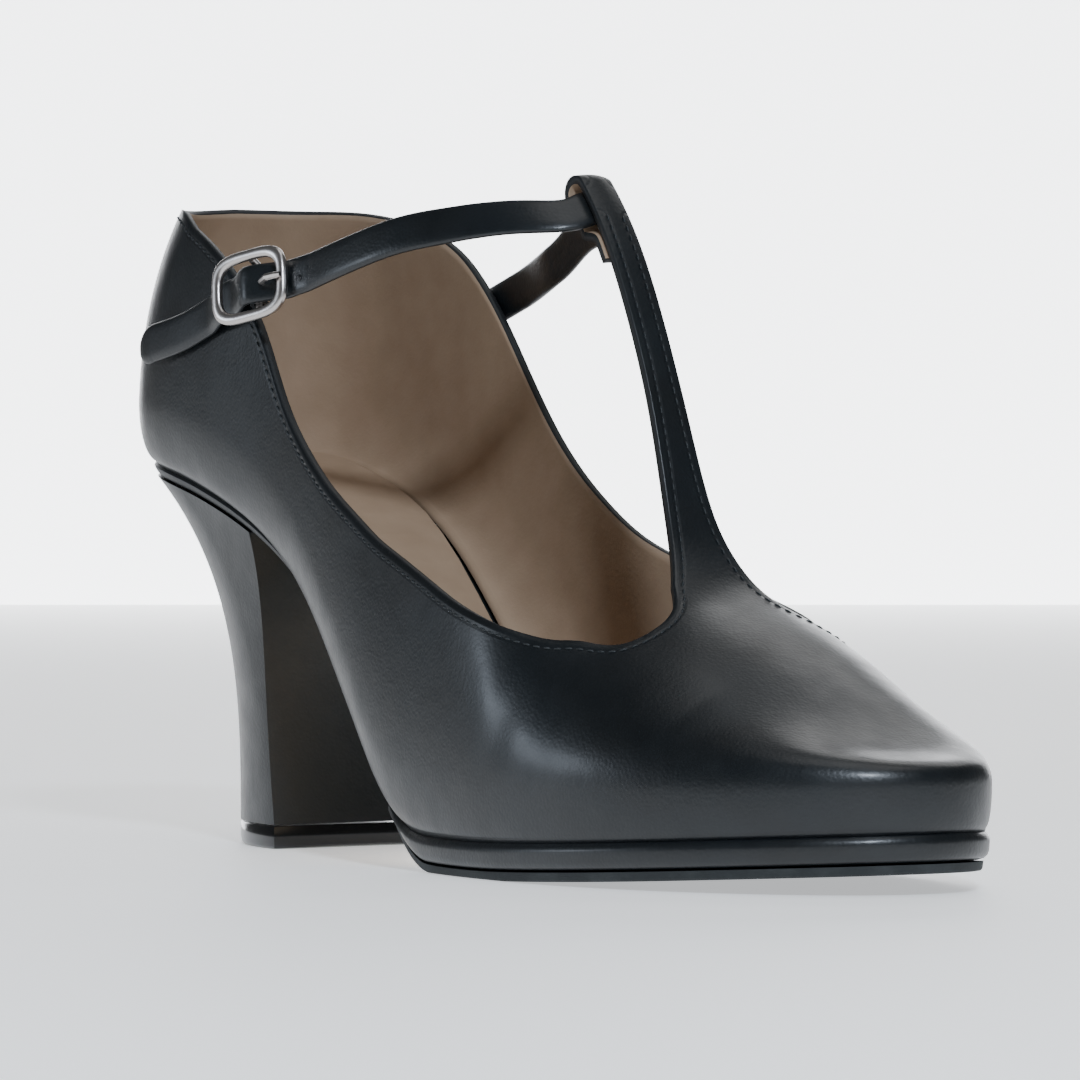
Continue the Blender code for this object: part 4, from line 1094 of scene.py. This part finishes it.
def rim_rows(rim, underside, top):
    """Rows for slab_rings from the table of a rim."""
    return [
        (inset, lambda x, base=top if up else underside, offset=offset: base(x) + offset)
        for inset, up, offset in zip(rim["inset"], rim["top"], rim["offset"])
    ]


def front_stations(gap):
    """Stations from the join of the sole, with a gap, to the toe."""
    start = float(station_at(np.array(SOLE_JOIN_ALONG * LENGTH + gap)))
    return np.concatenate([np.linspace(start, 2, 90)[:-1], np.linspace(2, 3, 90)])


def make_waist_sole(tan):
    """The waist sole, whose attribute tells its bare underside from the inked rim."""
    end = float(station_at(np.array(SOLE_JOIN_ALONG * LENGTH)))
    stations = np.concatenate([np.linspace(0, 1, 60)[:-1], np.linspace(1, end, 120)])
    rings = slab_rings(stations, rim_rows(WAIST_RIM, sole_underside, sole_top))
    piece = closed_piece("waist_sole_leather", rings, tan, "tan_leather", ["waist_sole"],
                         start_cap=False)
    rim = np.concatenate([np.stack(edge(stations, side), -1) for side in (-1, 1)])
    rim = np.concatenate([rim, np.zeros((len(rim), 1))], -1)
    places = np.array([vertex.co[:] for vertex in piece.data.vertices]) + (TIP_MIDDLE, 0, 0)
    below = np.abs(places[:, 2] - sole_underside(places[:, 0])) < INK_WIDTH / 20
    inside = nearest(places * (1, 1, 0), rim) > INK_WIDTH
    ink = piece.data.attributes.new("tan_field", "FLOAT", "POINT")
    ink.data.foreach_set("value", (below & inside).astype(float))


def make_platform(leather):
    """The platform with its rounded shoulder."""
    rows = rim_rows(PLATFORM_RIM, platform_underside, sole_top)
    for bend in np.radians(np.linspace(0, 86, 9)):
        inset = -PLATFORM_MARGIN + SHOULDER_RADIUS * (1 - np.cos(bend))
        drop = SHOULDER_RADIUS * (1 - np.sin(bend))
        rows.append((inset, lambda x, drop=drop: sole_top(x) - drop))
    rows += [(0.0022, sole_top), (0.0060, sole_top)]
    rings = slab_rings(front_stations(1.5 * CLEARANCE), rows)
    closed_piece("platform_wrap", rings, leather, "black_leather", ["platform"], end_cap=False)


def make_tread(rubber):
    """The thin tread under the platform."""
    rings = slab_rings(front_stations(CLEARANCE), rim_rows(TREAD_RIM, tread_underside, tread_top))
    closed_piece("tread_sheet", rings, rubber, "black_tread", ["tread"], end_cap=False)


def tip_ring(inset, count):
    """The D-shaped plan of the tip, straight at the breast and narrower to the back."""
    bend = np.linspace(-1, 1, count) * QUARTER_TURN
    x = TIP_BREAST - inset - (TIP_LENGTH - 2 * inset) * np.cos(bend) ** TIP_POWER
    return x, (TIP_WIDTH / 2 - inset) * np.sin(bend)


def make_heel(leather):
    """The covered heel: the rings of the solid at a fine step, with its breast hollowed."""
    count = 101
    around = np.linspace(-1, 1, count)
    breast = float(station_at(np.array(BREAST_ALONG * LENGTH)))
    stations = breast * np.abs(around)
    way = np.stack([edge_ways(stations, side) for side in (-1, 1)])
    plan = np.stack([np.stack(edge(stations, side), -1) for side in (-1, 1)]) - way * HEEL_INSET
    seat = np.where((around < 0)[:, None], plan[0], plan[1])
    low_x, low_y = tip_ring(0.0, count)
    rings = []
    for down in np.linspace(0, 1, 70) ** HEEL_SPACING:
        x = low_x + (seat[:, 0] - low_x) * (1 - down) ** HEEL_FALL
        y = low_y + (seat[:, 1] - low_y) * (1 - down) ** HEEL_PINCH
        x = x - BREAST_HOLLOW * np.sin(np.pi * down) * np.abs(around) ** BREAST_POWER
        high = sole_underside(seat[:, 0]) - CLEARANCE
        z = high + (TIP_THICKNESS + CLEARANCE - high) * down
        rings.append(np.stack([x, y, z], -1))
    closed_piece("heel_cover", rings, leather, "black_leather", ["heel"])


TIP_RIM = table("inset height", [
    (0.0120, 0),
    (0.0010, 0),
    (0.0004, 0.0003),
    (0.0002, 0.0007),
    (0.0000, 0.0015),
    (0.0000, TIP_THICKNESS - 0.0003),
    (0.0003, TIP_THICKNESS),
])


def make_heel_tip(plastic):
    """The top piece, with worn edges."""
    rings = []
    for inset, z in zip(TIP_RIM["inset"], TIP_RIM["height"]):
        x, y = tip_ring(inset, 101)
        rings.append(np.stack([x, y, np.full_like(x, z)], -1))
    closed_piece("heel_tip_block", rings, plastic, "tip_plastic", ["heel_tip"])


# Ankle strap and buckle

def make_strap(leather):
    """The strap: a padded section along its route, narrowing to a rounded tail."""
    slit = SLIT_RUN - BUCKLE_RUN
    bend = np.linspace(0, QUARTER_TURN, 14)
    tail = TAIL_TIP * (1 - np.cos(bend))
    rest = np.linspace(-TAIL_LENGTH + TAIL_TIP, slit, 420)[1:]
    distance = np.concatenate([-TAIL_LENGTH + tail, rest])
    narrow = np.concatenate([np.sin(bend) ** 0.9, np.ones_like(rest)])
    narrow[0] = 0.06
    half = STRAP_WIDTH / 2 * narrow
    # The end on the inner side goes down, thinned, into a slit in the quarter
    dive = smooth((distance - slit) / SLIT_DIVE + 1)
    offset = strap_offsets(distance)
    offset = offset + (-SLIT_DEPTH - offset) * dive
    turn = circle(32)
    thick = STRAP_THICKNESS / 2 * np.sqrt(narrow) * (1 - 0.6 * dive)
    lines = [
        strap_space(distance, offset + out * thick, half * across)
        for across, out in zip(signed_power(np.cos(turn), 0.55), signed_power(np.sin(turn), 0.8))
    ]
    rings = np.stack(lines, axis=1)
    closed_piece("strap_leather", rings, leather, "black_leather", ["ankle_strap"])


HOLE_RIM = table("share lift", [
    (1.0, -0.0004),
    (1.0, 0.00003),
    (0.8, -0.00005),
    (0.2, -0.0002),
])


def make_hole_shade_discs(shade_paint):
    """Punched holes of the strap: near-black discs sunk to its face, painted shade standing in for
    the shadow inside each hole.
    """
    turn = circle(20)
    patches = []
    for ahead, across in PIN_HOLES:
        face = strap_offsets(np.full_like(turn, ahead)) + STRAP_THICKNESS / 2
        rings = []
        for share, lift in zip(HOLE_RIM["share"], HOLE_RIM["lift"]):
            radius = HOLE_RADIUS * share
            distance = ahead + radius * np.cos(turn)
            rings.append(strap_space(distance, face + lift, across + radius * np.sin(turn)))
        patches.append(ring_patch(rings))
    piece = add_piece("hole_shade_discs", *joined(patches), [shade_paint], "black_leather")
    finish_piece(piece, merge=False)


def make_buckle(nickel):
    """The buckle's ring, a rounded square of flattened wire, and the bar across its middle."""
    turn = circle(128)
    around = []
    for angle in circle(20):
        out = BUCKLE_WIRE / 2 * signed_power(np.cos(angle), 0.8)
        lift = BUCKLE_DEPTH / 2 * signed_power(np.sin(angle), 0.8)
        long = (BUCKLE_LENGTH - BUCKLE_WIRE) / 2 + out
        wide = (BUCKLE_WIDTH - BUCKLE_WIRE) / 2 + out
        ahead = long * signed_power(np.cos(turn), 2 / BUCKLE_POWER)
        across = wide * signed_power(np.sin(turn), 2 / BUCKLE_POWER)
        around.append(buckle_space(ahead, np.full_like(turn, frame_offset() + lift), across))
    rings = np.stack(around, axis=1)
    rings = np.concatenate([rings, rings[:1]])
    closed_piece("buckle_ring", rings, nickel, "buckle_nickel", ["buckle_frame"], False, False)
    reach = (BUCKLE_WIDTH - BUCKLE_WIRE) / 2
    across = np.linspace(-1, 1, 41)
    drop = smooth((1 - np.abs(across)) / 0.3)
    centre = buckle_space(np.zeros(41), frame_offset() - BUCKLE_DROP * drop, across * reach)
    ahead = unit(np.gradient(centre, axis=0))
    on = buckle_space(1.0, 0.0, 0.0) - buckle_space(0.0, 0.0, 0.0)
    first = unit(np.cross(ahead, on))
    second = np.cross(ahead, first)
    bend = circle(16)[None, :, None]
    ring = np.cos(bend) * first[:, None] + np.sin(bend) * second[:, None]
    rings = centre[:, None] + BAR_RADIUS * ring
    closed_piece("buckle_bar", rings, nickel, "buckle_nickel")


# Materials

def add_node(material, kind, places=(), **settings):
    """Adds a shader node, sets its properties and joins its inputs."""
    node = material.node_tree.nodes.new(kind)
    for name, value in settings.items():
        setattr(node, name, value)
    for socket, value in places:
        if isinstance(value, bpy.types.NodeSocket):
            material.node_tree.links.new(value, node.inputs[socket])
        else:
            node.inputs[socket].default_value = value
    return node


def feed(shader, name, value):
    """Links a value to an input of a shader."""
    shader.id_data.links.new(value, shader.inputs[name])


def plain_material(name, colour, roughness, metallic=0.0, coat=0.0, coat_roughness=0.1, ior=1.5):
    material = bpy.data.materials.new(name)
    material.use_nodes = True
    shader = material.node_tree.nodes["Principled BSDF"]
    shader.inputs["Base Color"].default_value = (*linear(colour), 1)
    shader.inputs["Roughness"].default_value = roughness
    shader.inputs["Metallic"].default_value = metallic
    shader.inputs["IOR"].default_value = ior
    shader.inputs["Coat Weight"].default_value = coat
    shader.inputs["Coat Roughness"].default_value = coat_roughness
    return material, shader


def place(material):
    return add_node(material, "ShaderNodeTexCoord").outputs["Object"]


def noise(material, size, detail=2.0, roughness=0.5):
    """Noise whose blobs are about the given size in metres."""
    return add_node(material, "ShaderNodeTexNoise", [
        ("Vector", place(material)),
        ("Scale", 1 / size),
        ("Detail", detail),
        ("Roughness", roughness),
    ]).outputs["Fac"]


def spread(material, value, low, high, to_low=0, to_high=1):
    """A value's range stretched to another."""
    return add_node(material, "ShaderNodeMapRange", [
        ("Value", value),
        ("From Min", low),
        ("From Max", high),
        ("To Min", to_low),
        ("To Max", to_high),
    ]).outputs["Result"]


def blend(material, factor, first, second):
    """A mix of two colours, the second a hex number or a node's output."""
    if not isinstance(second, bpy.types.NodeSocket):
        second = (*linear(second), 1)
    places = [(0, factor), (6, (*linear(first), 1)), (7, second)]
    return add_node(material, "ShaderNodeMix", places, data_type="RGBA").outputs[2]


def from_line(material, value, line):
    """How far a value lies from a line, either way."""
    gap = add_node(material, "ShaderNodeMath", [(0, value), (1, line)], operation="SUBTRACT")
    size = add_node(material, "ShaderNodeMath", [(0, gap.outputs[0])], operation="ABSOLUTE")
    return size.outputs[0]


def stitch_groove(material, shader, value, line, under):
    """The groove that a row of stitches pulls into the leather."""
    groove = spread(material, from_line(material, value, line), 0.0, GROOVE_WIDTH)
    return bumped(material, shader, groove, GROOVE_DEPTH, under=under)


def attribute(material, name):
    """A value that the mesh carries."""
    return add_node(material, "ShaderNodeAttribute", attribute_name=name).outputs["Fac"]


def bumped(material, shader, height, distance, under=None):
    """A bump of the given height in metres."""
    places = [("Height", height), ("Distance", distance), ("Strength", 1.0)]
    if under is not None:
        places.append(("Normal", under))
    out = add_node(material, "ShaderNodeBump", places).outputs["Normal"]
    feed(shader, "Normal", out)
    return out


def leather_grain(material, shader):
    """Fine calf grain: cells of about half a millimetre and a softer unevenness."""
    cells = add_node(material, "ShaderNodeTexVoronoi", [
        ("Vector", place(material)), ("Scale", 1 / GRAIN_SIZE),
    ], feature="SMOOTH_F1").outputs["Distance"]
    soft = noise(material, 0.004, 3.0)
    first = bumped(material, shader, soft, 0.00006)
    return bumped(material, shader, cells, 0.000035, first)


def black_leather():
    """Smooth calf leather, dyed through and finished with a satin wax: blue-black, with soft
    highlights. Dielectric, IOR 1.5, roughness of a waxed finish."""
    material, shader = plain_material(
        "black_leather_satin", 0x0C1114, 0.40, coat=0.22, coat_roughness=0.22)
    cloud = spread(material, noise(material, 0.020, 3.0), 0.35, 0.65)
    feed(shader, "Base Color", blend(material, cloud, 0x0A0F12, 0x11171B))
    fine = noise(material, 0.006, 3.0)
    feed(shader, "Roughness", spread(material, fine, 0.3, 0.7, 0.36, 0.44))
    return material, shader


def upper_leather():
    """The same leather with the groove of the stitch row and the step of the seam."""
    material, shader = black_leather()
    material.name = "upper_leather_satin"
    under = leather_grain(material, shader)
    under = stitch_groove(material, shader, attribute(material, "from_edge"), STITCH_INSET, under)
    from_seam = attribute(material, "from_seam")
    step = spread(material, from_seam, -0.0003, 0.0002, 1.0, 0.0)
    under = bumped(material, shader, step, SEAM_STEP, under)
    for inset in SEAM_ROWS:
        under = stitch_groove(material, shader, from_seam, -inset, under)
    return material


def cover_leather():
    """The leather pulled over heel and platform."""
    material, shader = black_leather()
    material.name = "cover_leather_satin"
    leather_grain(material, shader)
    return material


def lining_leather():
    """Pigskin lining, undyed, brushed matte."""
    material, shader = plain_material("lining_pigskin", 0xA89078, 0.7)
    cloud = spread(material, noise(material, 0.008, 4.0), 0.35, 0.65)
    feed(shader, "Base Color", blend(material, cloud, 0xA58D75, 0xAC947C))
    bumped(material, shader, noise(material, 0.0008, 2.0), 0.00004)
    return material


def tan_leather():
    """Sole leather, vegetable tanned and buffed; its rim is inked black."""
    material, shader = plain_material(
        "tan_sole_leather", 0xF0DCC0, 0.5, coat=0.1, coat_roughness=0.3)
    fibre = spread(material, noise(material, 0.010, 5.0, 0.6), 0.3, 0.7)
    tan = blend(material, fibre, 0xE2C8A4, 0xF2DFC4)
    feed(shader, "Base Color", blend(material, attribute(material, "tan_field"), 0x1A1F22, tan))
    bumped(material, shader, noise(material, 0.0010, 3.0), 0.00003)
    return material


def tread_rubber():
    """Thin rubber sole sheet, matte, lightly scuffed."""
    material, shader = plain_material("tread_rubber", 0x24292B, 0.75)
    scuff = spread(material, noise(material, 0.012, 6.0, 0.65), 0.45, 0.7)
    feed(shader, "Base Color", blend(material, scuff, 0x202527, 0x33383A))
    bumped(material, shader, noise(material, 0.0006, 3.0), 0.00005)
    return material


def tip_plastic():
    """Polyurethane top piece: glossy black on its sides, grey and worn where it stands."""
    material, shader = plain_material("tip_polyurethane", 0x0C0D0F, 0.15)
    normal = add_node(material, "ShaderNodeNewGeometry").outputs["Normal"]
    facing = add_node(material, "ShaderNodeSeparateXYZ", [("Vector", normal)]).outputs["Z"]
    under = spread(material, facing, -0.95, -0.8, 1, 0)
    feed(shader, "Base Color", blend(material, under, 0x0C0D0F, 0x8B8F8A))
    feed(shader, "Roughness", spread(material, under, 0, 1, 0.15, 0.8))
    return material


def shank_steel():
    """Rolled steel strip, dull."""
    material, shader = plain_material("shank_steel_dull", 0x8C8C8A, 0.45, metallic=1.0, ior=2.5)
    bumped(material, shader, noise(material, 0.0012, 2.0), 0.00002)
    return material


def buckle_nickel():
    """Nickel plate on wire, tumbled to a satin."""
    material, shader = plain_material("buckle_nickel_satin", 0xCFC9C5, 0.30, metallic=1.0, ior=2.0)
    bumped(material, shader, noise(material, 0.0009, 2.0), 0.000015)
    return material


def glowing(name, colour, roughness, strength):
    """A plain material that gives off some white light of its own."""
    material, shader = plain_material(name, colour, roughness)
    shader.inputs["Emission Color"].default_value = (*linear(0xFAFCFF), 1)
    shader.inputs["Emission Strength"].default_value = strength
    return material


# Floor, light and camera

def stage_sheet(name, corners, paint):
    """A flat sheet of the stage."""
    mesh = bpy.data.meshes.new(name)
    mesh.from_pydata(corners, [], [(0, 1, 2, 3)])
    mesh.materials.append(paint)
    add_object(name, mesh)


def make_stage(floor_material, paper):
    """A wide floor, and a backdrop across the camera's way far behind the shoe."""
    size = FLOOR_REACH
    corners = [(-size, -size, 0), (size, -size, 0), (size, size, 0), (-size, size, 0)]
    stage_sheet("floor", corners, floor_material)
    azimuth = np.radians(VIEW_AZIMUTH)
    back = np.array([-np.sin(azimuth), np.cos(azimuth), 0]) * BACKDROP_DISTANCE
    beside = np.array([np.cos(azimuth), np.sin(azimuth), 0]) * BACKDROP_WIDTH / 2
    high = np.array([0, 0, BACKDROP_HEIGHT])
    low = np.array([0, 0, -0.01])
    left, right = back - beside, back + beside
    corners = [left + low, right + low, right + high, left + high]
    stage_sheet("backdrop", [corner.tolist() for corner in corners], paper)


def look_at(item, place, way):
    """Puts a lamp or camera at its place, with its back turned the given way."""
    item.rotation_euler = way.to_track_quat("Z", "Y").to_euler()
    item.location = place


def add_light(name, place, target, size, power, colour=0xFFFFFF):
    """A soft window of light, its size in metres and its power in watts."""
    light = bpy.data.lights.new(name, "AREA")
    light.shape = "RECTANGLE"
    light.size, light.size_y = size
    light.energy = power
    light.color = linear(colour)
    look_at(add_object(name, light), place, Vector(place) - Vector(target))


def make_lights():
    """A dim world, and windows that lay the photograph's highlights on the leather."""
    world = bpy.data.worlds.new("studio")
    world.use_nodes = True
    background = world.node_tree.nodes["Background"]
    background.inputs["Color"].default_value = (*linear(0xF4F6F8), 1)
    background.inputs["Strength"].default_value = WORLD_STRENGTH
    bpy.context.scene.world = world
    middle = (0.07, 0.0, 0.05)
    add_light("overhead", (0.3, 0.1, 1.5), middle, (1.0, 1.0), 4)
    add_light("side_window", (-0.62, -0.95, 0.24), middle, (0.28, 0.18), 1.5, 0xE4F0FF)
    add_light("toe_spot", (1.00, -0.40, 0.72), middle, (0.10, 0.10), 9, 0xE4F0FF)
    add_light("top_window", (-0.32, 0.66, 0.80), middle, (0.6, 0.35), 1.2)


def make_camera():
    """The photograph's viewpoint: a long lens, turned 56 degrees from the outer side to the toe."""
    data = bpy.data.cameras.new("camera")
    data.sensor_width = SENSOR
    data.lens = FOCAL
    camera = add_object("camera", data)
    azimuth, height = np.radians(VIEW_AZIMUTH), np.radians(VIEW_HEIGHT)
    level = np.cos(height)
    way = Vector((np.sin(azimuth) * level, -np.cos(azimuth) * level, np.sin(height)))
    look_at(camera, Vector(VIEW_TARGET) + way * VIEW_DISTANCE, way)
    bpy.context.scene.camera = camera


def dress(node, material):
    """Gives a solid that stays a better material."""
    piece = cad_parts[node]
    piece.data.materials.clear()
    piece.data.materials.append(material)


make_camera()
leather, lining = cover_leather(), lining_leather()
make_upper(upper_leather(), lining, plain_material("cut_edge", 0x15181A, 0.6)[0])
make_stitches(plain_material("black_thread", 0x22272A, 0.55)[0])
make_waist_sole(tan_leather())
make_platform(leather)
make_tread(tread_rubber())
make_heel(leather)
make_heel_tip(tip_plastic())
make_strap(leather)
# Near-black matte discs in the strap's holes: painted shade for the shadow inside each hole
make_hole_shade_discs(plain_material("hole_painted_shade", 0x050506, 0.9)[0])
nickel, steel = buckle_nickel(), shank_steel()
make_buckle(nickel)
dress("buckle_prong", nickel)
dress("buckle_tab", leather)
dress("insole", lining)
dress("shank_plate", steel)
dress("shank_rivet", steel)
make_stage(
    glowing("floor_opal", 0xFAFAF9, 0.6, FLOOR_STRENGTH),
    glowing("backdrop_paper", 0xFFFFFF, 0.8, BACKDROP_STRENGTH),
)
make_lights()

bpy.context.view_layer.update()
